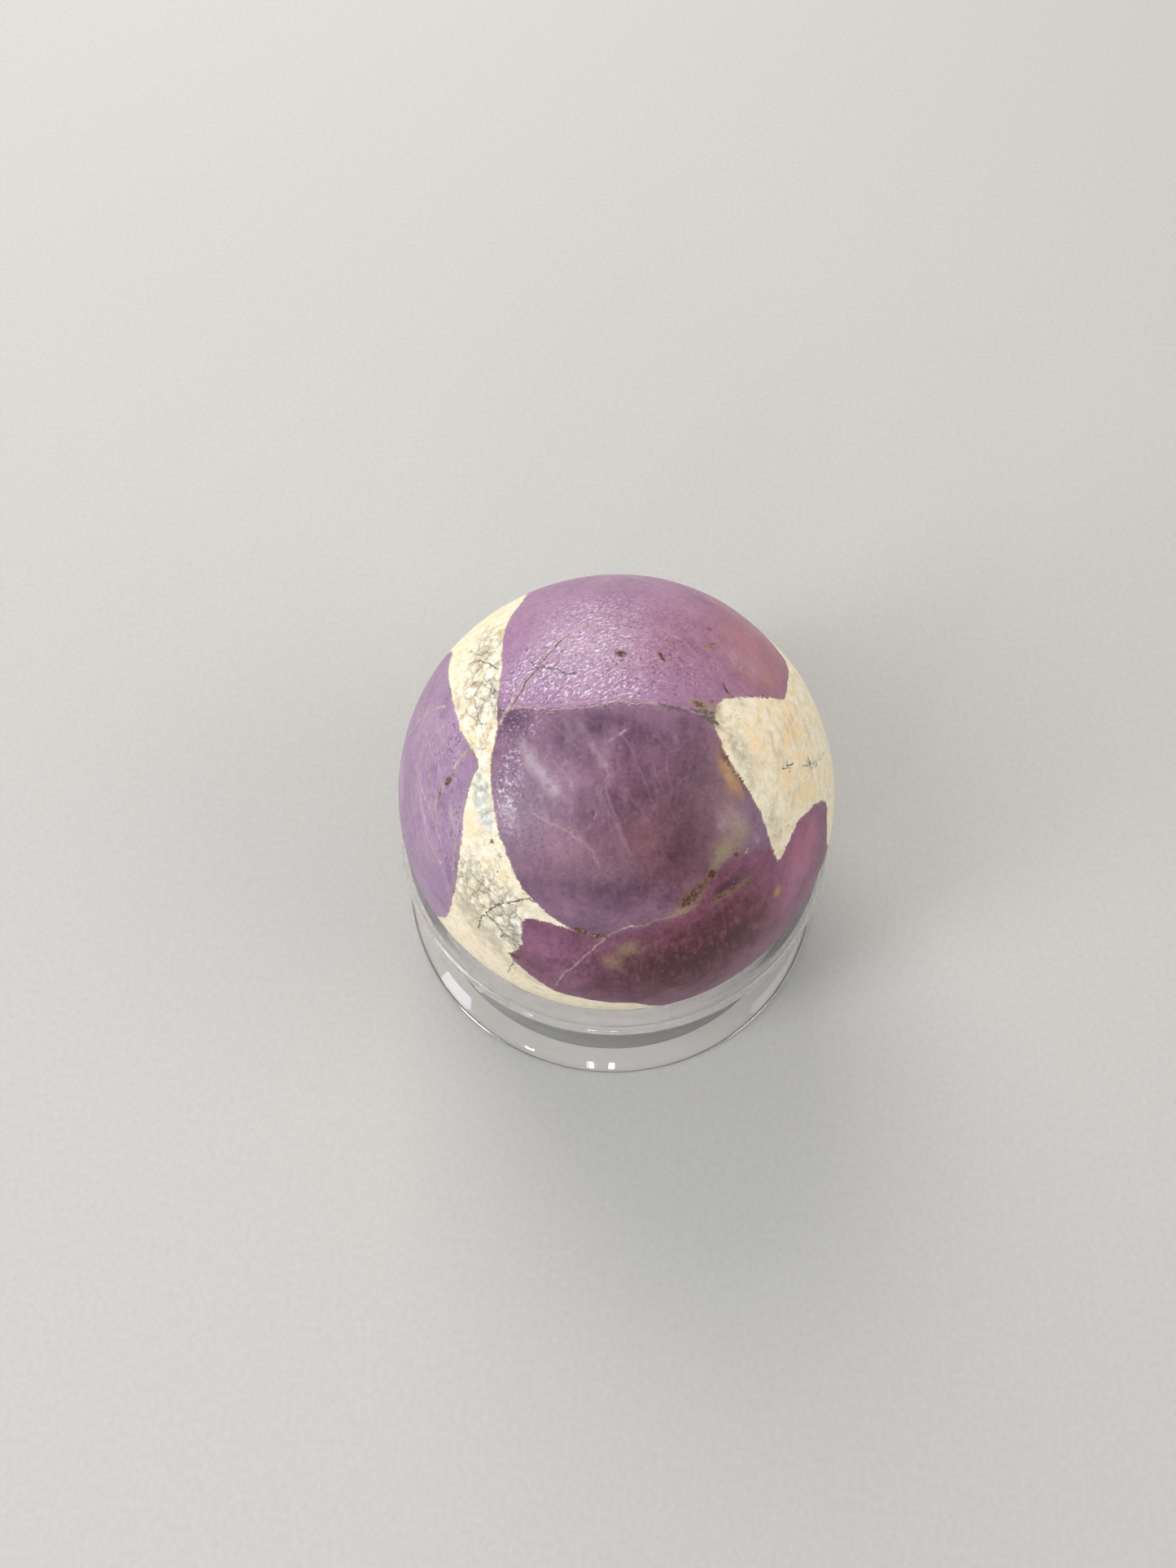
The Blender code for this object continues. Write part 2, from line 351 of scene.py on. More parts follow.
# Soft marks in groups, each as the middle, half length and half width in millimetres, the turn of
# the length in degrees clockwise from level in the photograph, and the strength
MARKS = {
    # Where the purple is deeper (above nought) or paler (below) than the rest of its block
    "deep": {
        "middle_top": (seen(735, 890), 2.6, 1.2, 10, 0.75),
        "middle_top_right": (seen(790, 900), 1.8, 1.0, 20, 0.45),
        "middle_upper_left": (seen(690, 917), 1.7, 1.0, 50, 0.6),
        "middle_corner": (seen(632, 884), 1.4, 0.9, 20, 0.8),
        "middle_dark_spot": (seen(720, 930), 1.2, 0.8, 60, 0.45),
        "middle_right": (seen(850, 930), 2.4, 1.6, 60, 0.5),
        "middle_centre": (seen(845, 990), 3.0, 3.4, 20, 0.5),
        "middle_inside": (seen(770, 985), 2.8, 3.0, 0, 0.55),
        "middle_low": (seen(845, 1050), 3.6, 3.0, 0, 0.6),
        "middle_bottom": (seen(765, 1095), 3.6, 1.8, 0, 0.7),
        "middle_low_left": (seen(690, 1090), 2.4, 1.4, 30, 0.3),
        "middle_left": (seen(680, 1030), 3.0, 2.0, 40, -0.4),
        "middle_pale": (seen(700, 960), 2.2, 1.6, 40, -0.4),
        "middle_ring": (seen(660, 985), 1.6, 1.6, 0, 0.45),
        "under_stain": (seen(905, 1005), 1.6, 1.2, 50, -0.7),
        "upper_right_pale": (seen(925, 805), 3.4, 3.0, 40, -0.55),
        "upper_band": (seen(870, 740), 3.5, 1.0, 30, 0.45),
        "upper_left_edge": (seen(640, 800), 2.4, 0.8, -70, 0.3),
        "upper_top_edge": (seen(740, 706), 5.0, 0.8, 0, 0.35),
        "lower_middle": (seen(810, 1200), 7.0, 5.0, -10, 1.05),
        # Partly painted shade: deeper purple at the lower right, where the lower block's own tone
        # deepens and the side turned from the lights is darker
        "lower_right_shade": (seen(900, 1150), 5.5, 4.5, -30, 0.65),
        "lower_left": (seen(680, 1165), 2.8, 2.0, 20, -0.35),
        "wedge": (seen(988, 1040), 3.0, 2.4, -60, -1.3),
        "wedge_low": (seen(972, 1090), 3.4, 2.4, -60, -0.7),
        "wedge_streak": (seen(989, 1022), 0.9, 0.3, -60, 0.6),
        "boundary_shade": (seen(893, 1090), 2.0, 0.6, -20, 0.9),
        "left_top": (seen(530, 850), 1.6, 0.9, -60, 0.5),
        "left_middle": (seen(548, 925), 1.6, 0.8, 75, 0.5),
        "left_low": (seen(548, 1060), 2.2, 0.9, 75, 0.4),
        # Painted sheen: paler purple in a strip along the left limb, where the light from the left
        # grazes the ball
        "left_limb": (seen(492, 960), 6.0, 1.2, 90, -0.5),
        "behind_left": (direction(120, -30), 7.0, 4.0, 20, 0.5),
        "behind_right": (direction(70, -30), 6.0, 5.0, 0, -0.4),
        "behind_high": (direction(95, 20), 6.0, 3.0, 10, 0.4),
    },
    # Where the purple turns towards rose and brown, mostly on the right half of the ball
    "rosy": {
        "upper_right": (seen(935, 795), 7.0, 5.5, 30, 1.1),
        "upper_middle": (seen(830, 790), 5.5, 5.0, 0, 0.5),
        "upper_end": (seen(925, 830), 3.0, 2.4, 10, 0.7),
        "middle_right": (seen(870, 970), 4.0, 6.5, 20, 0.8),
        "middle_centre": (seen(780, 990), 4.5, 6.0, 0, 0.6),
        "middle_low_left": (seen(700, 1060), 4.5, 4.0, 0, 0.35),
        "middle_low": (seen(830, 1060), 5.0, 3.5, 0, 0.6),
        "lower_middle": (seen(820, 1190), 5.0, 4.5, 0, 0.9),
        "lower_right": (seen(900, 1140), 5.5, 5.0, 0, 0.9),
        "wedge": (seen(990, 1040), 3.0, 3.0, 0, 0.7),
        "behind_right": (direction(80, -30), 9.0, 6.0, 0, 0.8),
        "behind_low": (direction(150, -40), 8.0, 5.0, 0, 0.5),
    },
    # Where the polish stops at the grain and the purple is speckled
    "grainy": {
        "upper_block": (seen(700, 810), 8.5, 5.0, -15, 1.1),
        "upper_block_right": (seen(800, 820), 6.0, 4.0, 0, 0.6),
        "upper_block_high": (seen(760, 735), 9.0, 3.5, 0, 0.5),
        "upper_block_far": (seen(900, 820), 5.0, 4.0, 0, 0.35),
        "left_block": (seen(535, 980), 9.0, 3.0, 88, 0.35),
        "left_block_edge": (seen(562, 990), 5.0, 1.2, 85, 0.6),
        "left_block_low": (seen(552, 1060), 3.0, 1.4, 75, 0.5),
        "left_block_top": (seen(558, 910), 2.4, 1.2, 75, 0.7),
        "middle_edge": (seen(626, 940), 6.0, 1.6, 85, 0.7),
        "middle_left": (seen(660, 1040), 4.0, 2.4, 60, 0.5),
        "middle_corner": (seen(640, 890), 2.4, 1.2, 20, 0.9),
        "lower_left": (seen(670, 1165), 3.2, 2.0, 30, 0.5),
        "seam": (seen(768, 1146), 2.6, 0.7, -15, 0.5),
        "boundary": (seen(890, 1090), 4.0, 1.2, -25, 0.6),
        "lower_right": (seen(900, 1150), 4.0, 3.0, -30, 0.2),
        "behind": (direction(95, 25), 10.0, 7.0, 0, 0.8),
        "behind_low": (direction(130, -35), 9.0, 6.0, 0, 0.6),
    },
    # Where the purple hangs in dark upright threads
    "plumed": {
        "lower_block": (seen(760, 1190), 9.0, 4.5, 0, 1.1),
        "lower_right": (seen(900, 1140), 6.0, 6.0, 0, 1.1),
        "middle_low": (seen(800, 1090), 7.0, 3.0, 0, 0.6),
        "left_block": (seen(530, 980), 4.0, 7.0, 0, 0.4),
        "behind": (direction(120, -40), 9.0, 6.0, 0, 0.7),
    },
    # Where faint pale streaks cross inside the purple
    "wispy": {
        "middle_block": (seen(740, 970), 9.0, 8.0, 0, 0.75),
        "left_block": (seen(530, 960), 5.0, 9.0, 0, 1.4),
        "upper_block": (seen(800, 780), 12.0, 6.0, 0, 0.8),
        "wedge": (seen(985, 1060), 3.0, 2.0, -60, 0.6),
        "behind": (direction(95, 20), 14.0, 8.0, 0, 0.9),
        "behind_left": (direction(165, -10), 9.0, 9.0, 0, 0.8),
    },
    # Grey-beige clouds in the purple
    "haze": {
        "band_top": (seen(641, 915), 1.4, 0.55, 65, 0.6),
        "band_middle": (seen(657, 938), 2.0, 1.0, 60, 0.8),
        "band_low": (seen(677, 965), 1.4, 0.9, 60, 0.8),
        "edge": (seen(622, 965), 3.0, 0.8, 85, 0.5),
        "under_edge": (seen(632, 1010), 1.6, 0.8, 70, 0.5),
        "long_streak": (seen(722, 905), 4.0, 0.5, 58, 0.45),
        "upright": (seen(769, 965), 2.4, 0.4, 88, 0.45),
        "slant_high": (seen(694, 885), 2.4, 0.45, 66, 0.4),
        "slant_middle": (seen(742, 940), 3.2, 0.55, 62, 0.4),
        "slant_right": (seen(800, 950), 3.2, 0.5, 75, 0.38),
        "slant_far": (seen(828, 905), 2.6, 0.5, 60, 0.36),
        "slant_low": (seen(720, 1040), 2.8, 0.5, 55, 0.38),
        "cross_low": (seen(790, 1020), 2.4, 0.3, -50, 0.4),
        "white_streak": (seen(766, 899), 1.2, 0.18, -34, 0.8),
        "white_streak_end": (seen(752, 909), 0.5, 0.25, -20, 0.7),
        "centre": (seen(735, 985), 2.6, 1.2, 60, 0.35),
        "right": (seen(912, 1020), 3.4, 2.2, 60, 0.36),
        "right_low": (seen(885, 1010), 1.6, 1.0, 80, 0.4),
        "left_streak": (seen(540, 900), 2.6, 0.22, 68, 1.2),
        "left_streak_low": (seen(556, 1000), 2.6, 0.3, 75, 0.9),
        "left_streak_high": (seen(522, 880), 3.2, 0.22, -45, 1.0),
        "left_streak_outer": (seen(518, 990), 4.0, 0.3, 70, 1.0),
        "left_cloud": (seen(560, 925), 1.6, 0.9, -60, 0.7),
        "left_smear": (seen(554, 1002), 1.3, 0.35, 66, 0.9),
        "left_cloud_low": (seen(548, 1085), 2.4, 0.7, 72, 0.7),
        "silver_edge": (seen(931, 1031), 0.5, 0.3, 60, 0.7),
        "low_left": (seen(700, 1075), 2.4, 1.0, 30, 0.3),
        "lower_block": (seen(720, 1195), 2.0, 0.6, -50, 0.3),
        "upper_end": (seen(912, 815), 3.6, 2.4, 20, 0.6),
        "behind": (direction(140, -42), 5.0, 1.2, 30, 0.6),
        "behind_high": (direction(84, 44), 5.0, 0.8, 35, 0.6),
        "behind_streak": (direction(104, 22), 5.0, 0.4, 60, 0.7),
        "behind_streak_right": (direction(74, 18), 4.0, 0.4, 70, 0.6),
        "far_left": (direction(172, 10), 5.0, 0.5, 75, 0.7),
        "far_right": (direction(-8, -26), 4.0, 1.0, 30, 0.5),
    },
    # Crisp pale flecks, and two painted glints: pale spots where a point of light shines
    "flecks": {
        "edge": (seen(628, 950), 2.0, 1.4, 80, 1.1),
        "edge_low": (seen(620, 985), 1.8, 1.1, 75, 1.2),
        "edge_tail": (seen(622, 1015), 1.2, 0.6, 60, 0.8),
        "edge_top": (seen(635, 925), 1.0, 0.7, 60, 0.6),
        # Painted glints: a point of reflected light on the polish, and one in the pit
        "glint": (seen(719, 930), 0.16, 0.12, 60, 2.0),
        "glint_pit": (seen(731, 1006), 0.2, 0.1, 80, 2.0),
        "tip_scratch": (seen(916, 1048), 0.55, 0.07, -50, 2.0),
        "seam": (seen(770, 1140), 1.6, 0.25, -14, 0.5),
        "boundary": (seen(917, 1092), 0.9, 0.3, -20, 0.5),
        "boundary_left": (seen(855, 1100), 0.5, 0.3, 0, 0.8),
    },
    # Where the cleavage breaks the light into fine glints, and where pale painted glints are laid
    # into the colour
    "sparkle": {
        "upper_block": (seen(700, 805), 7.0, 3.6, -25, 0.9),
        "upper_block_low": (seen(745, 845), 5.0, 1.8, 5, 0.8),
        "upper_block_left": (seen(637, 838), 2.2, 1.2, -60, 0.6),
        "upper_block_high": (seen(720, 745), 7.0, 3.0, -5, 0.5),
        "left_block": (seen(540, 920), 5.0, 1.6, 75, 0.45),
        "behind": (direction(98, 34), 7.0, 4.0, 20, 0.6),
    },
    # Limonite, amber where it is thin and golden where it is thick
    "ochre": {
        "stain_top": (seen(882, 918), 0.8, 0.25, 62, 0.8),
        "stain_upper": (seen(890, 941), 1.2, 0.7, 60, 1.2),
        "stain_middle": (seen(902, 962), 1.4, 0.85, 62, 1.7),
        "stain_low": (seen(912, 978), 0.6, 0.25, 75, 0.9),
        "stain_cloud": (seen(893, 977), 0.8, 0.4, 20, 0.45),
        "gold_spot": (seen(956, 1096), 0.75, 0.6, 80, 2.0),
        "gold_spot_tail": (seen(961, 1110), 0.6, 0.22, 75, 0.6),
        "wedge_gold": (seen(983, 1062), 0.6, 0.45, 30, 0.9),
        "low_gold": (seen(752, 1179), 1.0, 0.7, 60, 0.75),
        "low_gold_right": (seen(790, 1178), 0.8, 0.7, 60, 0.5),
        "rust_low": (seen(864, 1183), 0.4, 0.6, 10, 0.5),
        "seam_end": (seen(848, 1118), 1.0, 0.3, -20, 0.5),
        "behind": (direction(152, -16), 0.9, 0.5, 40, 1.0),
        "behind_edge": (direction(78, 0), 2.0, 0.4, 10, 0.8),
        "far_right": (direction(6, -26), 1.2, 0.6, 30, 0.9),
    },
    # Clay in the weathered places and round the stains
    "olive": {
        "khaki_patch": (seen(890, 1044), 1.8, 1.3, -45, 1.1),
        "khaki_haze": (seen(912, 1022), 2.6, 1.5, 60, 0.5),
        "patch_edge_high": (seen(902, 912), 2.8, 0.7, 62, 0.55),
        "patch_edge": (seen(924, 958), 2.8, 0.6, 62, 0.5),
        "patch_edge_top": (seen(914, 866), 2.2, 0.5, 0, 0.55),
        "patch_tip": (seen(952, 1030), 1.8, 0.9, 75, 0.5),
        "khaki_high": (seen(890, 995), 1.6, 0.8, 60, 0.35),
        "khaki_low": (seen(880, 1062), 0.8, 0.5, -45, 0.6),
        "low_haze": (seen(775, 1166), 2.2, 1.3, -10, 0.7),
        "low_haze_left": (seen(752, 1184), 1.6, 1.0, 60, 0.7),
        "seam_halo": (seen(836, 1119), 1.9, 0.6, -22, 1.0),
        "boundary_halo": (seen(858, 1094), 1.5, 0.8, -40, 0.6),
        "faded_spot": (seen(868, 797), 0.7, 0.35, -25, 0.9),
        "faded_spot_right": (seen(881, 789), 0.5, 0.3, -25, 0.8),
        "upper_end": (seen(944, 840), 1.3, 0.9, -30, 0.6),
        "junction": (seen(862, 867), 1.3, 0.6, 15, 1.3),
        "junction_low": (seen(878, 888), 1.1, 0.7, 50, 1.0),
        "stain_edge": (seen(886, 935), 1.2, 0.5, 62, 0.5),
        "wedge_edge": (seen(960, 1050), 0.8, 0.3, -60, 0.5),
        "band_left_low": (seen(568, 1110), 2.6, 1.4, 60, 0.28),
        "band_bottom": (seen(610, 1160), 3.0, 1.4, 50, 0.26),
        "boundary": (seen(900, 1094), 2.6, 0.5, -22, 0.8),
        "patch_top": (seen(884, 868), 0.5, 0.4, 0, 0.7),
    },
    # Iron stains, and the linings of the pits
    "brown": {
        "top_pit": (seen(763, 803), 0.45, 0.32, 20, 1.7),
        "top_pit_tail": (seen(754, 797), 0.35, 0.12, 30, 0.9),
        "top_pit_right": (seen(813, 807), 0.5, 0.22, 60, 1.7),
        "top_pit_right_dust": (seen(804, 810), 0.25, 0.15, 40, 0.7),
        "high_spot": (seen(871, 773), 0.36, 0.18, 75, 1.3),
        "faded_spot": (seen(874, 793), 0.9, 0.4, -25, 0.7),
        "sliver": (seen(893, 847), 0.65, 0.12, 62, 1.1),
        "sliver_dust": (seen(899, 855), 0.2, 0.15, 60, 0.7),
        "junction_brown": (seen(858, 866), 0.6, 0.3, 10, 1.3),
        "junction_dust": (seen(875, 862), 0.25, 0.18, 0, 0.8),
        "stain_top": (seen(889, 930), 0.9, 0.22, 62, 0.7),
        "stain_pit": (seen(876, 1075), 0.4, 0.32, 60, 1.8),
        "stain_pit_dust": (seen(864, 1085), 1.2, 0.5, -45, 0.6),
        "stain_pit_right": (seen(906, 1051), 0.28, 0.16, 30, 1.2),
        "boundary_brown": (seen(847, 1104), 0.85, 0.7, -35, 1.5),
        "boundary_brown_left": (seen(838, 1113), 0.3, 0.2, -30, 0.7),
        "boundary_dust": (seen(858, 1096), 0.7, 0.35, -40, 0.5),
        "boundary_smudge": (seen(888, 1099), 1.6, 0.4, -17, 0.75),
        "boundary_smudge_right": (seen(918, 1087), 1.3, 0.4, -28, 0.75),
        "boundary_end": (seen(936, 1072), 0.5, 0.2, -40, 0.6),
        "tip_rust": (seen(714, 1144), 0.7, 0.28, 15, 1.6),
        "tip_rust_right": (seen(738, 1151), 0.55, 0.26, 10, 1.6),
        "tip_rust_middle": (seen(726, 1148), 0.25, 0.12, 10, 0.8),
        "low_rust": (seen(633, 1176), 0.6, 0.4, 10, 1.7),
        "left_pit": (seen(550, 962), 0.45, 0.3, -50, 1.6),
        "left_pit_dust": (seen(557, 950), 0.9, 0.3, -55, 0.6),
        "left_seam_dust": (seen(540, 976), 1.0, 0.2, -58, 0.55),
        "left_speck": (seen(536, 1048), 0.22, 0.12, 40, 0.8),
        "left_speck_low": (seen(543, 1066), 0.25, 0.1, 60, 0.8),
        "left_speck_high": (seen(540, 975), 0.25, 0.12, -50, 0.8),
        "matrix_speck": (seen(943, 1033), 0.16, 0.14, 0, 1.2),
        "wedge_dirt": (seen(968, 1016), 0.5, 0.14, -50, 0.7),
        "tip_edge": (seen(931, 1049), 0.35, 0.1, 80, 0.8),
        "top_edge_dirt": (seen(925, 856), 0.35, 0.09, 0, 0.8),
        "top_edge_dirt_right": (seen(938, 855), 0.15, 0.09, 0, 0.8),
        "patch_edge_high": (seen(896, 936), 1.5, 0.13, 62, 0.9),
        "patch_edge": (seen(913, 963), 1.3, 0.14, 60, 0.9),
        "patch_edge_low": (seen(928, 990), 1.0, 0.1, 62, 0.6),
        "patch_edge_top": (seen(903, 858), 1.3, 0.09, -6, 0.6),
        "band_edge": (seen(612, 862), 1.6, 0.08, 85, 0.5),
        "middle_speck": (seen(657, 1019), 0.2, 0.12, 0, 0.9),
        "middle_speck_right": (seen(707, 1012), 0.15, 0.1, 0, 0.8),
        "middle_patch": (seen(696, 1046), 0.5, 0.3, 60, 0.5),
        "band_speck": (seen(588, 1060), 0.15, 0.12, 0, 0.9),
        "band_speck_low": (seen(612, 1071), 0.15, 0.1, 0, 0.8),
        "band_brown": (seen(614, 1051), 0.35, 0.2, 60, 0.7),
        "behind": (direction(152, -16), 0.4, 0.25, 40, 1.2),
        "behind_low": (direction(40, -44), 0.5, 0.25, 20, 1.1),
        "behind_high": (direction(80, 24), 0.5, 0.3, 60, 1.5),
        "behind_seam": (direction(91, 14), 0.7, 0.4, 80, 1.3),
        "far_left": (direction(172, -12), 0.6, 0.35, 50, 1.4),
        "far_right": (direction(2, -24), 0.6, 0.3, 20, 1.4),
    },
    # Dark grey stains and dirt
    "grey": {
        "junction_dark": (seen(872, 881), 0.9, 0.65, 35, 1.0),
        "junction_dust": (seen(850, 872), 1.2, 0.35, 12, 0.5),
        "junction_dark_right": (seen(880, 888), 0.35, 0.22, 50, 1.0),
        "junction_dark_left": (seen(860, 874), 0.35, 0.15, 10, 0.9),
        "patch_star": (seen(968, 941), 0.35, 0.25, -60, 0.9),
        "patch_star_right": (seen(996, 939), 0.45, 0.25, -25, 0.9),
        "patch_star_low": (seen(943, 993), 0.25, 0.15, 60, 0.6),
        "patch_star_high": (seen(985, 900), 0.3, 0.08, -70, 0.5),
        "band_smudge": (seen(597, 800), 0.9, 0.22, -20, 0.8),
        "band_smudge_low": (seen(578, 834), 0.4, 0.22, 20, 0.6),
        "band_edge": (seen(608, 852), 1.4, 0.2, 85, 0.6),
        "waist_streak": (seen(603, 999), 0.5, 0.12, 85, 0.9),
        "plum": (seen(605, 1035), 0.5, 0.35, 30, 0.9),
        "low_mottle": (seen(638, 1160), 0.6, 0.4, 80, 0.75),
        "low_mottle_left": (seen(634, 1170), 0.45, 0.3, 0, 0.8),
        "low_mottle_top": (seen(634, 1136), 0.5, 0.25, 60, 0.5),
        "left_block_tick": (seen(554, 1026), 0.24, 0.08, -55, 1.3),
        "dark_glint_pit": (seen(730, 1000), 0.25, 0.08, 85, 1.1),
        "tip_grey": (seen(941, 1044), 0.3, 0.12, 80, 0.8),
        "behind": (direction(100, -8), 0.8, 0.3, 20, 0.9),
    },
    # Where the matrix is crazed by fine cracks, fibrous, greyer, cooler or warmer than the rest
    "crackled": {
        "band_middle": (seen(592, 848), 5.4, 3.0, 90, 1.5),
        "band_top": (seen(602, 785), 2.8, 2.4, 80, 0.8),
        "band_waist": (seen(592, 975), 4.0, 1.6, 90, 0.8),
        "band_low": (seen(608, 1105), 4.2, 2.8, 50, 1.2),
        "band_bottom": (seen(630, 1145), 2.6, 1.7, 80, 1.3),
        "band_left": (seen(574, 1085), 2.6, 1.6, 80, 0.8),
        "patch_left": (seen(905, 915), 3.0, 1.2, 60, 0.5),
        "behind": (direction(90, -5), 5.0, 2.0, 0, 0.9),
        "under": (direction(-120, -30), 4.0, 3.0, 0, 0.8),
    },
    "fibrous": {
        "right_patch": (seen(965, 910), 9.0, 6.0, 80, 1.2),
        "right_patch_behind": (direction(20, 5), 9.0, 7.0, 80, 1.0),
        "band_bottom": (seen(680, 1215), 5.0, 1.2, 15, 0.9),
        "band_low": (seen(590, 1150), 4.0, 2.0, 50, 0.7),
        "under": (direction(-100, -35), 8.0, 6.0, 0, 0.8),
    },
    "ashen": {
        "patch_left": (seen(908, 915), 3.5, 1.3, 60, 1.0),
        "patch_low": (seen(953, 1010), 2.6, 1.2, 65, 0.8),
        "band_top": (seen(598, 790), 2.4, 1.2, 80, 0.45),
        "band_middle": (seen(592, 850), 4.0, 1.4, 90, 0.6),
        "band_left_edge": (seen(562, 850), 4.0, 0.6, 85, 0.7),
        "band_low_edge": (seen(560, 1090), 3.0, 0.7, 80, 0.5),
        "band_bottom": (seen(602, 1150), 3.4, 2.2, 50, 0.9),
        "band_left_low": (seen(574, 1108), 3.2, 1.8, 60, 0.9),
        "band_low": (seen(622, 1110), 2.0, 1.0, 30, 0.4),
        "band_under": (seen(660, 1206), 4.5, 1.2, 25, 0.8),
        "behind": (direction(80, -6), 5.0, 1.5, 0, 0.6),
    },
    "cool": {
        "top": (seen(600, 775), 2.0, 1.0, 80, 0.5),
        "waist": (seen(591, 975), 2.6, 1.0, 90, 1.2),
        "waist_low": (seen(600, 1015), 1.4, 0.8, 80, 0.7),
        "band_edge": (seen(608, 850), 2.4, 0.5, 85, 0.9),
        "band_smudge": (seen(590, 803), 1.2, 0.4, -20, 0.9),
        "band_middle": (seen(590, 880), 2.2, 1.0, 85, 0.5),
        "band_left": (seen(574, 1060), 2.0, 0.7, 80, 0.5),
        "low_mottle": (seen(635, 1150), 1.8, 0.8, 75, 1.1),
        "tip": (seen(655, 1116), 1.2, 0.5, 30, 0.5),
        "patch_edge": (seen(905, 925), 3.0, 0.6, 60, 0.3),
        "patch_tip": (seen(950, 1010), 2.4, 0.9, 65, 0.35),
        "behind": (direction(110, -14), 4.0, 1.2, 0, 0.8),
        "under": (direction(-110, -44), 4.0, 2.0, 0, 0.6),
    },
    "warm": {
        "blush": (seen(613, 778), 1.0, 0.5, 85, 1.3),
        "high": (seen(604, 760), 1.6, 0.6, -60, 0.6),
        "edge": (seen(576, 876), 0.7, 0.4, 80, 1.1),
        "low": (seen(617, 1079), 0.8, 0.5, 30, 1.3),
        "low_wide": (seen(600, 1078), 2.0, 1.4, 60, 0.5),
        "bottom": (seen(640, 1205), 4.0, 1.2, 25, 0.4),
        "patch": (seen(970, 915), 9.0, 6.0, 80, 0.75),
        "patch_left": (seen(925, 905), 1.6, 0.9, 60, 0.6),
        "patch_middle": (seen(975, 900), 2.6, 1.0, 85, 0.5),
        "patch_low": (seen(990, 975), 1.6, 1.0, -40, 0.5),
        "behind": (direction(70, 0), 4.0, 2.0, 0, 0.8),
        "behind_right": (direction(20, -8), 5.0, 3.0, 0, 0.6),
    },
}

# Open pits that the polish left, with the depth in millimetres in place of the strength
PITS = {
    "beside_the_stain": (seen(876, 1075), 0.36, 0.27, 60, 0.30),
    "above_the_stain": (seen(906, 1051), 0.30, 0.2, 30, 0.2),
    "where_three_blocks_meet": (seen(875, 879), 0.55, 0.35, 20, 0.22),
    "under_the_right_patch": (seen(893, 847), 0.65, 0.16, 62, 0.18),
    "at_the_matrix_tip": (seen(714, 1144), 0.5, 0.17, 12, 0.18),
    "at_the_matrix_tip_right": (seen(738, 1151), 0.4, 0.17, 10, 0.18),
    "low_in_the_matrix": (seen(632, 1176), 0.48, 0.33, 20, 0.25),
    "in_the_left_block": (seen(549, 962), 0.3, 0.2, -50, 0.15),
    "in_the_upper_block": (seen(762, 804), 0.36, 0.24, 20, 0.12),
    "in_the_upper_block_right": (seen(814, 806), 0.42, 0.16, 60, 0.12),
    "in_the_middle_block": (seen(730, 1000), 0.26, 0.1, 85, 0.12),
}

# How far from a pit the mesh is cut finer, and how steep a pit's wall is
PIT_MARGIN_MM = 0.85
PIT_SHARPNESS = 2
# Two slow waves that multiply into a faint unevenness, each as its pace along every axis and a phase
WAVE_MM = 0.04
WAVES = (((5.1, 2.3, -3.7), 0.4), ((-2.9, 4.7, 3.1), 1.9))
# The place that was worn flat
FLAT_PLACE = direction(44, 31)
FLAT_REACH_MM = 6.0
FLAT_DEPTH_MM = 0.22
# How much lower the softer matrix wore, and the width of the step at its edge
UNDERCUT_MM = 0.025
UNDERCUT_WIDTH_MM = 0.5
# How deep a crack is open, and how far from its line its wall starts and ends
CRACK_DEPTH_MM = 0.04
CRACK_BOTTOM_MM, CRACK_TOP_MM = 0.125, 0.375

# How finely outlines and lines are followed, in points for each given one
CURVE_STEPS = 5
# How far from itself a line is still followed, how far out it starts to fade and is gone, and how
# many half widths its tapering ends are long
LINE_REACH_MM = 0.6
LINE_FADES_MM, LINE_GONE_MM = 0.3, 0.54
LINE_TAPER = 3
# The cosine of the widest angle from a mark's middle at which it still adds to the ball
MARK_LIMIT = 0.7

LINES = {"seam": PALE_SEAMS, "crack": DARK_CRACKS}
# Everything that is kept as a number at each point of the ball's mesh
FIELDS = (
    *MARKS, "matrix", *(f"{block}_block" for block in BLOCKS),
    *(f"{line}_{part}" for line in LINES for part in ("offset", "width", "shown")),
)

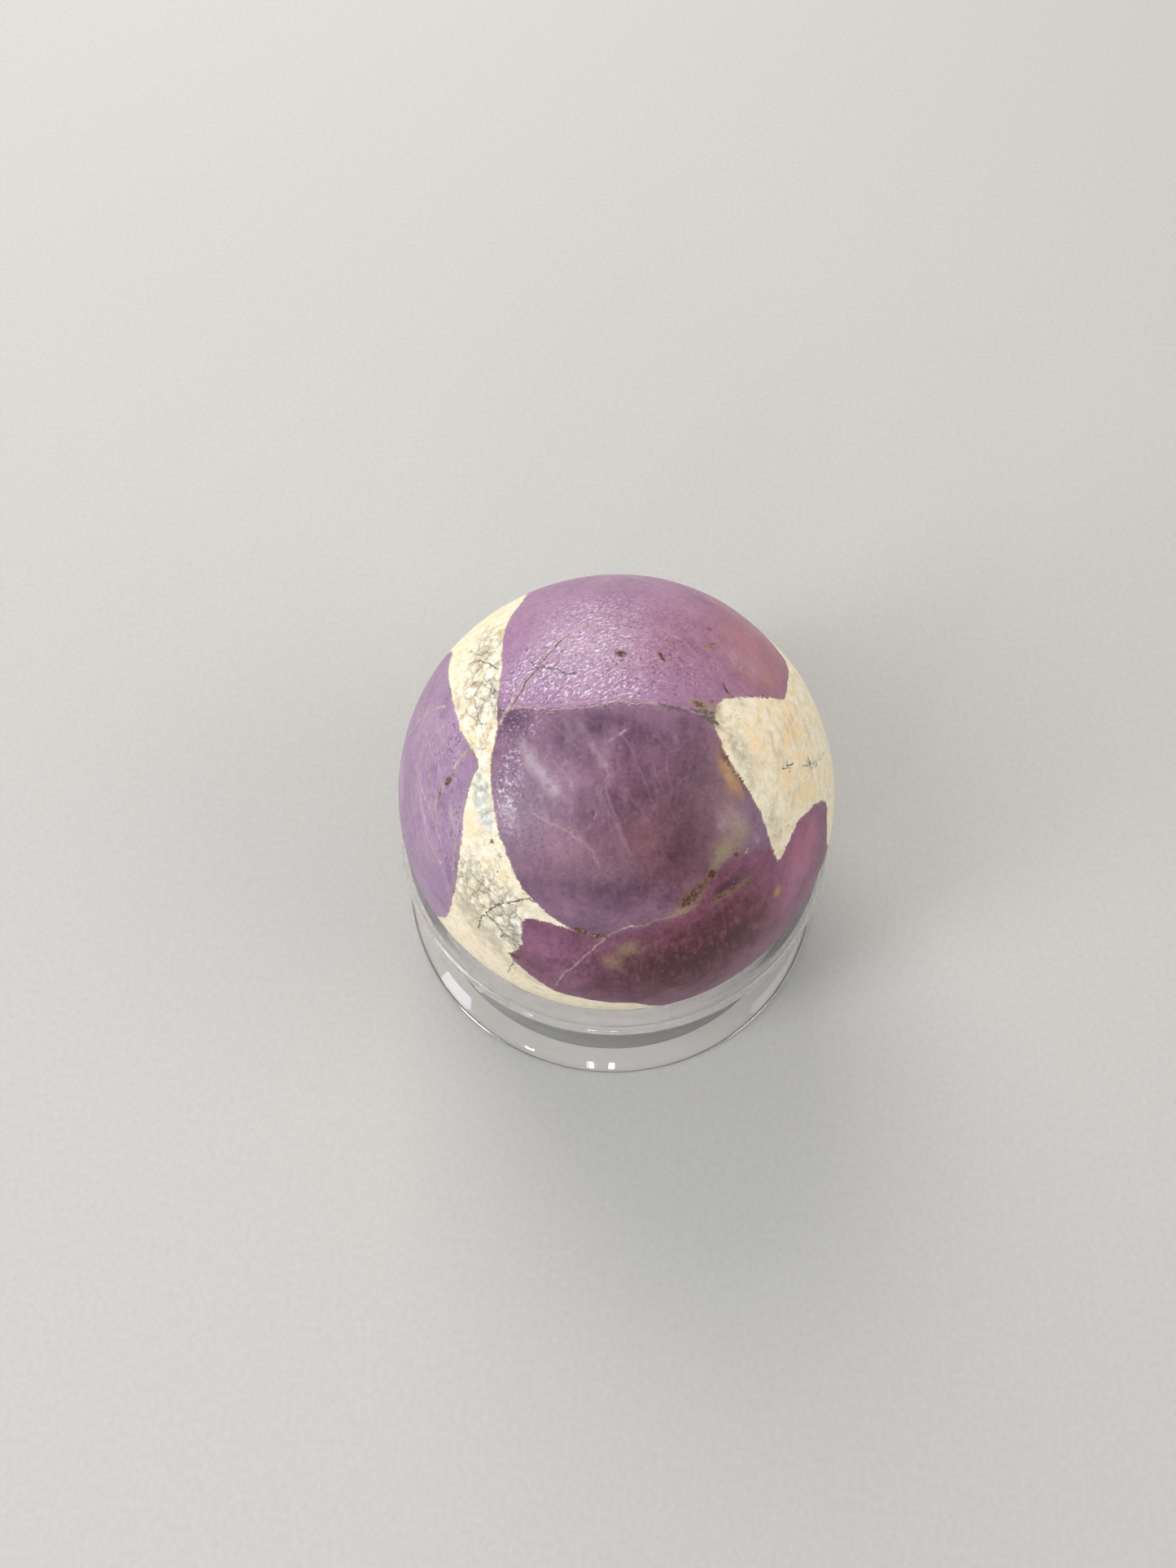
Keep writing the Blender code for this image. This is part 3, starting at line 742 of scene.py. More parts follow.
# The stone's patterns of noise: the size along each axis in millimetres, the turn of the axes in
# degrees, the detail, the roughness, and the noise levels where the pattern starts and is full
PATTERNS = {
    "clouds": ((3.2, 3.2, 3.2), (0, 0, 0), 5.0, 0.6, 0.25, 0.75),
    "billows": ((1.3, 1.3, 1.3), (0, 0, 0), 5.0, 0.65, 0.2, 0.7),
    "streaks": ((0.8, 3.4, 0.8), (24, 0, -6), 4.0, 0.6, 0.3, 0.7),
    "slants": ((1.1, 5.5, 1.1), (24, 0, 34), 4.0, 0.6, 0.5, 0.72),
    "crossing": ((1.3, 6.0, 1.3), (24, 0, -38), 4.0, 0.6, 0.52, 0.74),
    "warp": ((0.9, 0.9, 0.9), (0, 0, 0), 5.0, 0.6, 0.0, 1.0),
    "mottle": ((0.35, 0.35, 0.35), (0, 0, 0), 4.0, 0.7, 0.1, 0.75),
    "dark_grain": ((0.3, 0.3, 0.3), (0, 0, 0), 3.0, 0.7, 0.47, 0.34),
    "pale_grain": ((0.28, 0.28, 0.28), (0, 0, 0), 3.0, 0.7, 0.54, 0.66),
    "shards": ((0.5, 0.2, 0.2), (0, 0, 34), 3.0, 0.75, 0.51, 0.61),
    "crackle": ((0.55, 0.55, 0.55), (0, 0, 0), 5.0, 0.8, 0.49, 0.66),
    "crumbs": ((0.32, 0.32, 0.32), (0, 0, 0), 4.0, 0.75, 0.4, 0.6),
    "blobs": ((0.8, 0.8, 0.8), (0, 0, 0), 4.0, 0.6, 0.46, 0.62),
    "smudges": ((0.8, 0.8, 0.8), (0, 0, 0), 5.0, 0.65, 0.5, 0.34),
    "tints": ((2.4, 2.4, 2.4), (0, 0, 0), 3.0, 0.5, 0.48, 0.7),
    "fibres": ((0.4, 1.4, 0.4), (24, 0, 2), 5.0, 0.7, 0.5, 0.3),
    "pale_fibres": ((0.6, 2.4, 0.6), (24, 0, 8), 4.0, 0.65, 0.5, 0.64),
    "green_fibres": ((0.9, 3.0, 0.9), (24, 0, -4), 4.0, 0.65, 0.5, 0.36),
    "plumes": ((0.45, 0.45, 3.2), (0, 0, 0), 4.0, 0.65, 0.42, 0.66),
    "threads": ((0.5, 0.5, 4.0), (0, 0, 9), 3.0, 0.6, 0.5, 0.68),
    "pale_flakes": ((1.2, 0.55, 0.55), (20, 0, 50), 4.0, 0.65, 0.5, 0.74),
    "dark_flakes": ((0.5, 1.0, 0.5), (20, 0, 20), 4.0, 0.65, 0.5, 0.32),
    # One noise from both sides of a level, so that the product of the two is a thin vein
    "vein_near": ((2.2, 12.0, 2.2), (24, 0, 24), 2.0, 0.45, 0.46, 0.5),
    "vein_far": ((2.2, 12.0, 2.2), (24, 0, 24), 2.0, 0.45, 0.54, 0.5),
    "specks": ((0.3, 0.3, 0.3), (0, 0, 0), 3.0, 0.6, 0.62, 0.68),
}
# The net of fine cracks in the matrix: its cells, the widths of its lines and of the gaps round
# them as shares of a cell, and how its lines wander
CELL_MM = 1.5
NET_WIDTHS = {"net": 0.09, "gaps": 0.34}
BEND_MM = 1.3
BEND_SIZE_MM = 0.8
BEND_DETAIL = 3.0
# How much each pattern adds to the depth of the purple, and the depths of its two colours
DEPTH_WEIGHTS = {"clouds": 0.9, "streaks": 0.35, "billows": 0.5, "mottle": 0.75}
PALE_DEPTH, FULL_DEPTH = 0.4, 2.45
# How far every edge and line wanders with some of the patterns, in millimetres
WANDER_MM = {"warp": 0.7, "mottle": 0.3, "dark_grain": 0.12}
# How far a line's width comes and goes with the mottle, and where its soft edge starts and ends
# under that, all in half widths
LINE_BREAKS = 3.2
EDGE_START, EDGE_END = -1.6, -0.2
# How soft the matrix's edge is, and how far the rust on it goes
MATRIX_BLUR_MM = 0.09
RIM_FULL_MM, RIM_GONE_MM = 0.03, 0.11

# Layers of colour, each over the ones before it. A layer shows where its mark times its pattern
# passes from a start to a full level, and then it covers a share of what lies under it
PURPLE_LAYERS = (
    ("wispy", "slants", 0.1, 1.0, 0.22, "wisp"),
    ("wispy", "crossing", 0.1, 1.0, 0.2, "wisp"),
    ("wispy", "pale_flakes", 0.0, 0.9, 0.3, "wisp"),
    ("all", "dark_flakes", 0.0, 1.0, 0.16, "speck"),
    ("all", "dark_grain", 0.3, 1.0, 0.3, "speck"),
    ("haze", "billows", 0.12, 0.75, 0.75, "haze"),
    ("grainy", "dark_grain", 0.1, 0.8, 0.65, "speck"),
    # Pale grains, partly painted glints where the light falls on the grain
    ("grainy", "pale_grain", 0.15, 1.0, 0.35, "glint"),
    # Painted glints: pale colour on the cleavage shards where the broad highlight falls
    ("sparkle", "shards", 0.1, 0.8, 0.75, "glint"),
    # Pale flecks, and at two spots painted glints
    ("flecks", "crackle", 0.06, 0.8, 0.5, "glint"),
    ("flecks", "pale_grain", 0.2, 1.0, 0.5, "glint"),
    ("plumed", "plumes", 0.1, 0.9, 0.5, "lower_deep"),
    ("plumed", "threads", 0.1, 1.0, 0.2, "lower_pale"),
    ("veined", "vein_far", 0.05, 0.9, 0.35, "wisp"),
    ("seam", "all", 0.0, 1.0, 0.85, "tan"),
    ("seam", "blobs", 0.2, 0.9, 0.35, "ivory"),
    ("seam", "smudges", 0.2, 0.9, 0.6, "rust"),
)
MATRIX_LAYERS = (
    ("all", "blobs", 0.0, 1.0, 0.5, "ivory"),
    ("all", "smudges", 0.0, 1.0, 0.3, "ash"),
    ("all", "tints", 0.0, 1.0, 0.3, "honey"),
    ("warm", "billows", 0.1, 0.8, 0.8, "honey"),
    ("cool", "billows", 0.1, 0.7, 0.85, "cool"),
    ("ashen", "billows", 0.1, 0.8, 0.7, "ash"),
    ("fibrous", "green_fibres", 0.1, 1.0, 0.35, "ash"),
    ("fibrous", "fibres", 0.1, 1.0, 0.3, "ash"),
    ("fibrous", "pale_fibres", 0.1, 0.9, 0.35, "ivory"),
    ("crackled", "blobs", 0.1, 0.8, 0.8, "ivory"),
    ("crackled", "gaps", 0.05, 0.8, 0.55, "ash"),
    ("crackled", "smudges", 0.1, 0.9, 0.5, "ash"),
    ("crackled", "net", 0.1, 0.9, 0.6, "crack_grey"),
    ("crackled", "dark_grain", 0.3, 1.0, 0.3, "crack_grey"),
    ("all", "specks", 0.2, 1.0, 0.45, "crack_grey"),
)
STAIN_LAYERS = (
    ("rim", "clouds", 0.2, 0.7, 0.75, "rust"),
    ("olive", "billows", 0.05, 0.8, 0.7, "olive"),
    ("olive", "crumbs", 0.2, 0.9, 0.5, "olive"),
    ("ochre", "mottle", 0.1, 1.0, 0.85, "amber"),
    ("ochre", "billows", 0.3, 1.6, 0.7, "gold"),
    ("grey", "mottle", 0.2, 1.1, 0.6, "slate"),
    ("grey", "crumbs", 0.2, 0.5, 0.9, "slate"),
    ("brown", "mottle", 0.15, 0.9, 0.5, "rust"),
    ("brown", "crumbs", 0.1, 0.35, 0.8, "rust"),
    ("brown", "crumbs", 0.32, 0.6, 0.95, "brown"),
    ("crack", "all", 0.0, 0.9, 0.95, "slate"),
)

# How much duller the polish is where it is mottled and where it is stained, and how much less dull
# it is everywhere
MOTTLE_DULLS = 0.13
STAIN_DULLS = 0.2
POLISH_GAIN = 0.08
# The fine relief: its depth, and how the dark grains and the cracks stand in it as shares of that
BUMP_MM = 0.02
GRAIN_RISE = -0.35
CRACK_SINK = 1.5
STONE_IOR = 1.5

# The points along each wall and each rounding of the ring's section, the angle from which an edge
# is sharp, and the height under which a face is part of the ground flat
WALL_POINTS = 18
ROUND_POINTS = 6
SHARP_DEGREES = 40
FLAT_HEIGHT = 0.01 * MM
# The smears, the hairline scratches and the frost on the plastic, and the card's fibres, written
# like the stone's patterns but in metres
ACRYLIC_IOR = 1.49
SMEARS = ((0.004, 0.004, 0.006), (0, 0, 0), 3.0, 0.5, 0.45, 0.8)
SMEAR_DULLS = 0.09
SCRATCHES = ((0.00015, 0.003, 0.0015), (17.19, 11.46, 34.38), 2.0, 0.5, 0.68, 0.74)
SCRATCH_DEPTH = 0.004 * MM
FROST = ((0.004, 0.004, 0.004), (0, 0, 0), 4.0, 0.5, 0.0, 1.0)
FROST_ROUGHNESS = 0.7
CARD_TOOTH = ((0.0006, 0.0006, 0.0006), (0, 0, 0), 4.0, 0.5, 0.3, 0.7)
CARD_CONTRAST = 0.08
CARD_ROUGHNESS = 0.9

FLOOR_GAP = 0.05 * MM
# Enough for light to pass through both walls of the clear ring and back
LIGHT_BOUNCES = 20
# The soft lights: azimuth, elevation, distance, width and height, and colour
LIGHTS = {
    "key": (112, 38, 0.5, (0.32, 0.32), "FFFAF2"),
    "left": (208, 34, 0.5, (0.13, 0.5), "F4F7FF"),
    "right": (-10, 30, 0.6, (0.4, 0.4), "FFFFFF"),
}
# The small lights in front, which give the clear ring its glints: azimuth, elevation and width
GLINT_LIGHTS = ((-94, 25, 0.02), (-86, 25, 0.018), (-118, 27, 0.03))
GLINT_REACH, GLINT_HEIGHT = 0.5, 0.06
GLINT_COLOUR = "FFFFFF"


def linear(hex_colour):
    """An sRGB hex colour as linear red, green, blue and a full alpha, by the standard's curve."""
    parts = [int(hex_colour[place:place + 2], 16) / 255 for place in (0, 2, 4)]
    parts = [part / 12.92 if part <= 0.04045 else ((part + 0.055) / 1.055) ** 2.4 for part in parts]
    return (*parts, 1.0)


def smooth_line(points, closed):
    """A smooth curve through directions on the ball, as an array of unit directions.

    Between two given points it is the cubic whose slope at each is half of the way from the
    point before it to the point after it.
    """
    given = np.array([tuple(point) for point in points])
    count = len(given)
    steps = np.arange(0, 1, 1 / CURVE_STEPS)[:, None]
    curve = []
    for index in range(count if closed else count - 1):
        places = [index + shift for shift in (-1, 0, 1, 2)]
        if closed:
            places = [place % count for place in places]
        before, start, end, after = given[np.clip(places, 0, count - 1)]
        curve.append(
            0.5 * (
                2 * start + (end - before) * steps
                + (2 * before - 5 * start + 4 * end - after) * steps**2
                + (3 * start - before - 3 * end + after) * steps**3
            )
        )
    if not closed:
        curve.append(given[-1:])
    curve = np.concatenate(curve)
    return curve / np.linalg.norm(curve, axis=1, keepdims=True)


def ramp(values, start, end):
    """How far values have come from a start to an end, from nought to one."""
    return np.clip((values - start) / (end - start), 0, 1)


def middle_of(curve):
    """The direction of a curve's middle."""
    middle = curve.mean(axis=0)
    return middle / np.linalg.norm(middle)


def flattened(directions, middle):
    """Directions laid out round a middle one on a flat sheet, true in distance from it, in mm."""
    pole = Vector(middle)
    across = np.array(pole.orthogonal().normalized())
    up = np.cross(middle, across)
    side, rise = directions @ across, directions @ up
    angle = np.arccos(np.clip(directions @ middle, -1, 1))
    stretch = angle / np.maximum(np.hypot(side, rise), TINY) * (BALL_RADIUS / MM)
    return side * stretch, rise * stretch


def outline_depth(directions, outline):
    """How far each direction lies inside a closed outline in mm, below nought outside it."""
    curve = smooth_line(outline, closed=True)
    middle = middle_of(curve)
    x, y = flattened(directions, middle)
    cx, cy = flattened(curve, middle)
    nearest = np.full(len(x), np.inf)
    inside = np.zeros(len(x), bool)
    for ax, ay, bx, by in zip(cx, cy, np.roll(cx, -1), np.roll(cy, -1)):
        ex, ey = bx - ax, by - ay
        along = ((x - ax) * ex + (y - ay) * ey) / max(ex * ex + ey * ey, TINY)
        along = np.clip(along, 0, 1)
        nearest = np.minimum(nearest, (x - ax - along * ex) ** 2 + (y - ay - along * ey) ** 2)
        if ay != by:
            crosses = (ay > y) != (by > y)
            inside ^= crosses & (x < (bx - ax) * (y - ay) / (by - ay) + ax)
    return np.where(inside, 1.0, -1.0) * np.sqrt(nearest)


def beside_line(x, y, cx, cy):
    """Each point's signed distance from a flat line, and how far past the line's ends it lies."""
    gap = np.full(len(x), np.inf)
    past_end = np.zeros(len(x))
    last = len(cx) - 2
    for index, (ax, ay, bx, by) in enumerate(zip(cx, cy, cx[1:], cy[1:])):
        ex, ey = bx - ax, by - ay
        raw = ((x - ax) * ex + (y - ay) * ey) / (ex * ex + ey * ey)
        along = np.clip(raw, 0, 1)
        away = np.hypot(x - ax - along * ex, y - ay - along * ey)
        side = (x - ax) * ey - (y - ay) * ex
        before_start = -raw if index == 0 else 0.0
        after_end = raw - 1 if index == last else 0.0
        outside = np.maximum(np.maximum(before_start, after_end), 0) * math.hypot(ex, ey)
        nearer = away < np.abs(gap)
        gap = np.where(nearer, np.copysign(away, side), gap)
        past_end = np.where(nearer, outside, past_end)
    return gap, past_end


def line_fields(directions, lines):
    """The signed distance to the nearest line and its half width in mm, and how much it shows."""
    offset = np.full(len(directions), LINE_REACH_MM)
    widths = np.full(len(directions), LINE_REACH_MM)
    shown = np.zeros(len(directions))
    margin = 2 * LINE_REACH_MM * MM / BALL_RADIUS
    for half_width, strength, points in lines.values():
        curve = smooth_line(points, closed=False)
        middle = middle_of(curve)
        near = np.nonzero(directions @ middle > (curve @ middle).min() - margin)[0]
        sheet = flattened(directions[near], middle)
        gap, past_end = beside_line(*sheet, *flattened(curve, middle))
        wins = np.abs(gap) < np.abs(offset[near])
        faded = ramp(np.abs(gap), LINE_GONE_MM, LINE_FADES_MM)
        faded *= strength * ramp(past_end, LINE_TAPER * half_width, 0)
        kept = near[wins]
        offset[kept] = gap[wins]
        widths[kept] = half_width
        shown[kept] = faded[wins]
    return {"offset": offset, "width": widths, "shown": shown}


def mark_strength(directions, marks, sharpness=1):
    """The summed strength of soft oval marks, whose edges are steeper at a higher sharpness."""
    total = np.zeros(len(directions))
    image_right = np.array(CAMERA_PLACE.to_3x3().col[0])
    for middle, half_length, half_width, turn, strength in marks.values():
        middle = np.array(middle)
        near = np.nonzero(directions @ middle > MARK_LIMIT)[0]
        right = image_right - middle * (image_right @ middle)
        right /= np.linalg.norm(right)
        down = np.cross(right, middle)
        side = directions[near] @ right * BALL_RADIUS / MM
        drop = directions[near] @ down * BALL_RADIUS / MM
        angle = math.radians(turn)
        along = side * math.cos(angle) + drop * math.sin(angle)
        aside = drop * math.cos(angle) - side * math.sin(angle)
        apart = (along / half_length) ** 2 + (aside / half_width) ** 2
        total[near] += strength * np.exp(-apart**sharpness)
    return total


def add(tree, kind, inputs=(), output=0, **settings):
    """Adds a shader node with its settings, sets or links its inputs, and gives one output."""
    node = tree.nodes.new("ShaderNode" + kind)
    for name, value in settings.items():
        setattr(node, name, value)
    for name, value in dict(inputs).items():
        if isinstance(value, bpy.types.NodeSocket):
            tree.links.new(value, node.inputs[name])
        else:
            node.inputs[name].default_value = value
    return node.outputs[output]


# The sockets of a Mix node that mixes colours
FACTOR, FIRST, SECOND, MIXED = 0, 6, 7, 2


def pattern(tree, place, size, turn, detail, roughness, start, full):
    """One pattern of noise, as a value that runs from nought to one."""
    turn = [math.radians(angle) for angle in turn]
    place = add(tree, "Mapping", {
        "Vector": place, "Rotation": turn, "Scale": size,
    }, vector_type="TEXTURE")
    noise = add(tree, "TexNoise", {
        "Vector": place, "Scale": 1.0, "Detail": detail, "Roughness": roughness,
    })
    return add(tree, "MapRange", {"Value": noise, "From Min": start, "From Max": full})


def new_material(name):
    """An empty node material, with its tree, its Principled shader and the object's coordinates."""
    material = bpy.data.materials.new(name)
    material.use_nodes = True
    tree = material.node_tree
    return material, tree, tree.nodes["Principled BSDF"], add(tree, "TexCoord", output="Object")


def new_piece(name, mesh, material, node):
    """A finished piece that rides on the one body and stands for its CAD node."""
    mesh.materials.append(material)
    piece = bpy.data.objects.new(name, mesh)
    bpy.context.scene.collection.objects.link(piece)
    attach(piece, "root")
    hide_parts(node)
    return piece


def colour_setting(name, description, hex_colour):
    """A colour that a user can change, whose default is an sRGB hex value."""
    return bpy.props.FloatVectorProperty(
        name=name, description=description, subtype="COLOR", size=4, min=0.0, max=1.0,
        default=linear(hex_colour),
    )


def length_setting(name, description, millimetres):
    """A length that a user can change."""
    return bpy.props.FloatProperty(
        name=name, description=description, subtype="DISTANCE", unit="LENGTH", min=0.0,
        default=millimetres * MM, precision=5,
    )


def count_setting(name, description, count, least, most):
    """A whole number that a user can change within limits."""
    return bpy.props.IntProperty(
        name=name, description=description, default=count, min=least, max=most,
    )


def share_setting(name, description, share):
    """A share from nought to one that a user can change."""
    return bpy.props.FloatProperty(
        name=name, description=description, subtype="FACTOR", min=0.0, max=1.0, default=share,
    )


def power_setting(name, description, watts):
    """A light's power that a user can change."""
    return bpy.props.FloatProperty(
        name=name, description=description, unit="POWER", min=0.0, default=watts,
    )


class SpecimenBallSettings(bpy.types.PropertyGroup):
    """How finely the ball is cut and what its minerals look like."""

    squares: count_setting("Squares", "Faces along each edge of the rounded cube", 124, 8, 126)
    pit_cuts: count_setting("Pit cuts", "Extra cuts of the faces round the open pits", 2, 0, 4)
    purple_roughness: share_setting("Purple roughness", "Roughness of the polished purpurite", 0.4)
    matrix_roughness: share_setting("Matrix roughness", "Roughness of the softer matrix", 0.52)
    middle_pale: colour_setting("Middle, pale", "Middle block where it is paler", "98728A")
    middle_deep: colour_setting("Middle, deep", "Middle block where it is deeper", "462742")
    upper_pale: colour_setting("Upper, pale", "Upper block where it is paler", "AC87A3")
    upper_deep: colour_setting("Upper, deep", "Upper block where it is deeper", "7D5076")
    left_pale: colour_setting("Left, pale", "Left block where it is paler", "AC90A8")
    left_deep: colour_setting("Left, deep", "Left block where it is deeper", "765576")
    lower_pale: colour_setting("Lower, pale", "Lower block where it is paler", "9C6484")
    lower_deep: colour_setting("Lower, deep", "Lower block where it is deeper", "3E0618")
    # The tint that turns the purple towards rose and brown, mostly on the right half of the ball
    rosy: colour_setting("Rosy", "Tint of the purple that has weathered", "FFE1C8")
    wisp: colour_setting("Wisps", "Faint pale streaks inside the purple", "C3A0B8")
    haze: colour_setting("Haze", "Grey-beige clouds in the purple", "AA999F")
    # Pale flecks and grains, and the painted glints of the sparkle
    glint: colour_setting("Glints", "Flecks and grains that catch the light", "E6D8E8")
    speck: colour_setting("Specks", "Dark grains in the purple", "4A2A4E")
    cream: colour_setting("Cream", "The matrix's main colour", "E6D8B8")
    ivory: colour_setting("Ivory", "The matrix's palest grains", "F0EADA")
    honey: colour_setting("Honey", "The matrix's warm tints", "F0CB92")
    ash: colour_setting("Ash", "The matrix's greyer grains", "AAA08A")
    cool: colour_setting("Cool", "The matrix where it is blue-grey", "B9C0BE")
    crack_grey: colour_setting("Crack grey", "Dirt in the matrix's fine cracks", "6E6A62")
    tan: colour_setting("Tan", "Healed seams", "AE9488")
    rust: colour_setting("Rust", "The paler rim of an iron stain", "704C36")
    brown: colour_setting("Brown", "Iron stains and the linings of pits", "452A20")
    amber: colour_setting("Amber", "Limonite beside the right patch", "8A6230")
    gold: colour_setting("Gold", "Limonite where it is thick", "B4895A")
    olive: colour_setting("Olive", "Clay in the weathered places", "94805F")
    slate: colour_setting("Slate", "Dark grey stains", "4B4842")


class SpecimenStandSettings(bpy.types.PropertyGroup):
    """The ring stand's sizes and finish."""

    height: length_setting("Height", "Height of the whole ring", 16.6)
    waist_height: length_setting("Waist height", "Height of the narrowest place", 8.1)
    waist_wall: length_setting("Waist wall", "Thickness of the wall at the waist", 1.9)
    inner_curve: length_setting("Inner curve", "Radius of the bulge inside, above the waist", 10.5)
    foot_curve: length_setting("Foot curve", "Radius of the bulge inside, below the waist", 14.8)
    rim_round: length_setting("Rim round", "Radius of the rim's rounding", 0.6)
    foot_radius: length_setting("Foot radius", "Radius of the foot outside", 24.7)
    foot_round: length_setting("Foot round", "Radius of the foot's rounding", 0.5)
    seat_gap: length_setting("Seat gap", "Room between the ball and the ring", 0.3)
    steps: count_setting("Steps", "Faces round the ring", 256, 24, 512)
    roughness: share_setting("Roughness", "Roughness of the clean plastic", 0.03)
    tint: colour_setting("Tint", "Colour of the clear plastic", "FAFBFB")
    ground_pale: colour_setting("Ground, pale", "Ground foot where it is paler", "FFFCF8")
    ground_deep: colour_setting("Ground, deep", "Ground foot where it is deeper", "FCF1E4")


class SpecimenStageSettings(bpy.types.PropertyGroup):
    """The plain floor and the lights."""

    floor_size: length_setting("Floor size", "Length of the floor's side", 4000.0)
    floor: colour_setting("Floor", "Colour of the plain floor", "B8B6B1")
    surroundings: colour_setting("Surroundings", "Colour of the light from all round", "BEC0C3")
    key_power: power_setting("Key light", "Power of the window light", 1.7)
    left_power: power_setting("Left light", "Power of the light from the left", 1.6)
    right_power: power_setting("Right light", "Power of the light from the right", 1.0)
    glint_power: power_setting("Glint lights", "Power of a square one of the front lights", 0.27)


def ball_builder(squares, pit_cuts):
    """A cube's surface cut into squares of like angle and made round, cut finer at the pits."""
    builder = bmesh.new()
    bmesh.ops.create_cube(builder, size=2.0)
    bmesh.ops.subdivide_edges(
        builder, edges=builder.edges, cuts=squares - 1, use_grid_fill=True
    )
    for vert in builder.verts:
        vert.co = Vector(math.tan(part * math.pi / 4) for part in vert.co).normalized()
    near = set()
    limit = math.cos(PIT_MARGIN_MM * MM / BALL_RADIUS)
    directions = np.array([tuple(vert.co) for vert in builder.verts])
    for middle, *_ in PITS.values():
        near.update(np.nonzero(directions @ np.array(middle) > limit)[0].tolist())
    builder.verts.index_update()
    edges = [edge for edge in builder.edges if all(vert.index in near for vert in edge.verts)]
    if pit_cuts:
        bmesh.ops.subdivide_edges(builder, edges=edges, cuts=pit_cuts, use_grid_fill=True)
    for vert in builder.verts:
        vert.co.normalize()
    return builder


def ball_relief(directions, fields):
    """How far the surface stands off the true ball in millimetres: waves, wear, cracks and pits."""
    relief = np.full(len(directions), WAVE_MM)
    for wave, phase in WAVES:
        relief *= np.sin(directions @ np.array(wave) + phase)
    away = np.arccos(np.clip(directions @ np.array(FLAT_PLACE), -1, 1)) * BALL_RADIUS / MM
    worn = ramp(away, FLAT_REACH_MM, 0)
    relief -= FLAT_DEPTH_MM * worn * worn * (3 - 2 * worn)
    relief -= UNDERCUT_MM * ramp(fields["matrix"], -UNDERCUT_WIDTH_MM / 2, UNDERCUT_WIDTH_MM / 2)
    open_cracks = ramp(np.abs(fields["crack_offset"]), CRACK_TOP_MM, CRACK_BOTTOM_MM)
    relief -= CRACK_DEPTH_MM * open_cracks * fields["crack_shown"]
    relief -= mark_strength(directions, PITS, PIT_SHARPNESS)
    return relief


def ball_fields(directions):
    """Every mark, outline and line of the stone, as a number for each direction."""
    fields = {name: mark_strength(directions, group) for name, group in MARKS.items()}
    depths = [outline_depth(directions, outline) for outline in MATRIX_OUTLINES]
    fields["matrix"] = np.max(depths, axis=0)
    for block, (_, outline) in BLOCKS.items():
        fields[f"{block}_block"] = outline_depth(directions, outline)
    for line, places in LINES.items():
        for part, values in line_fields(directions, places).items():
            fields[f"{line}_{part}"] = values
    return fields


def make_ball(settings):
    """The polished ball, with its blocks, bands, seams and stains kept as fields on its mesh."""
    builder = ball_builder(settings.squares, settings.pit_cuts)
    mesh = bpy.data.meshes.new("polished_ball")
    builder.to_mesh(mesh)
    builder.free()
    directions = np.empty(len(mesh.vertices) * 3)
    mesh.vertices.foreach_get("co", directions)
    directions = directions.reshape(-1, 3)
    directions /= np.linalg.norm(directions, axis=1, keepdims=True)

    fields = ball_fields(directions)
    for name, values in fields.items():
        attribute = mesh.attributes.new(name, "FLOAT", "POINT")
        attribute.data.foreach_set("value", values.astype(np.float32))
    reach = BALL_RADIUS + ball_relief(directions, fields) * MM
    places = directions * reach[:, None] + np.array(BALL_CENTRE)
    mesh.vertices.foreach_set("co", places.ravel())
    mesh.update()
    mesh.shade_smooth()
    material = purpurite_material(settings)
    return new_piece("polished_ball", mesh, material, "purpurite_ball")


def crack_net(tree, spot):
    """The net of fine wandering cracks and the wider gaps round it, one on a crack's line."""
    bent = add(tree, "TexNoise", {
        "Vector": spot, "Scale": 1 / BEND_SIZE_MM, "Detail": BEND_DETAIL,
    }, "Color")
    bent = add(tree, "VectorMath", {
        0: bent, 1: (BEND_MM,) * 3, 2: spot,
    }, operation="MULTIPLY_ADD")
    cracks = add(tree, "TexVoronoi", {
        "Vector": bent, "Scale": 1 / CELL_MM,
    }, feature="DISTANCE_TO_EDGE")
    return {
        name: add(tree, "MapRange", {
            "Value": cracks, "From Min": 0.0, "From Max": width, "To Min": 1.0, "To Max": 0.0,
        }, interpolation_type="SMOOTHSTEP")
        for name, width in NET_WIDTHS.items()
    }


def stone_patterns(tree, place):
    """Every pattern of the stone, in millimetres from the ball's middle."""
    spot = add(tree, "Mapping", {
        "Vector": place, "Location": tuple(-BALL_CENTRE / MM), "Scale": (1 / MM,) * 3,
    })
    patterns = {name: pattern(tree, spot, *row) for name, row in PATTERNS.items()}
    patterns["all"] = 1.0
    for name, lines in crack_net(tree, spot).items():
        broken = {0: lines, 1: patterns["billows"]}
        patterns[name] = add(tree, "Math", broken, operation="MULTIPLY")
    return patterns


def line_shown(tree, line, marks, patterns):
    """How much of a seam or crack shows: its line wanders, and its width comes and goes."""
    away = add(tree, "Math", {0: marks[f"{line}_offset"], 1: marks["wander"]})
    away = add(tree, "Math", {0: away}, operation="ABSOLUTE")
    away = add(tree, "Math", {0: away, 1: marks[f"{line}_width"]}, operation="DIVIDE")
    away = add(tree, "Math", {
        0: patterns["mottle"], 1: -LINE_BREAKS, 2: away,
    }, operation="MULTIPLY_ADD")
    line_seen = add(tree, "MapRange", {
        "Value": away, "From Min": EDGE_START, "From Max": EDGE_END, "To Min": 1.0, "To Max": 0.0,
    }, interpolation_type="SMOOTHSTEP")
    return add(tree, "Math", {0: line_seen, 1: marks[f"{line}_shown"]}, operation="MULTIPLY")


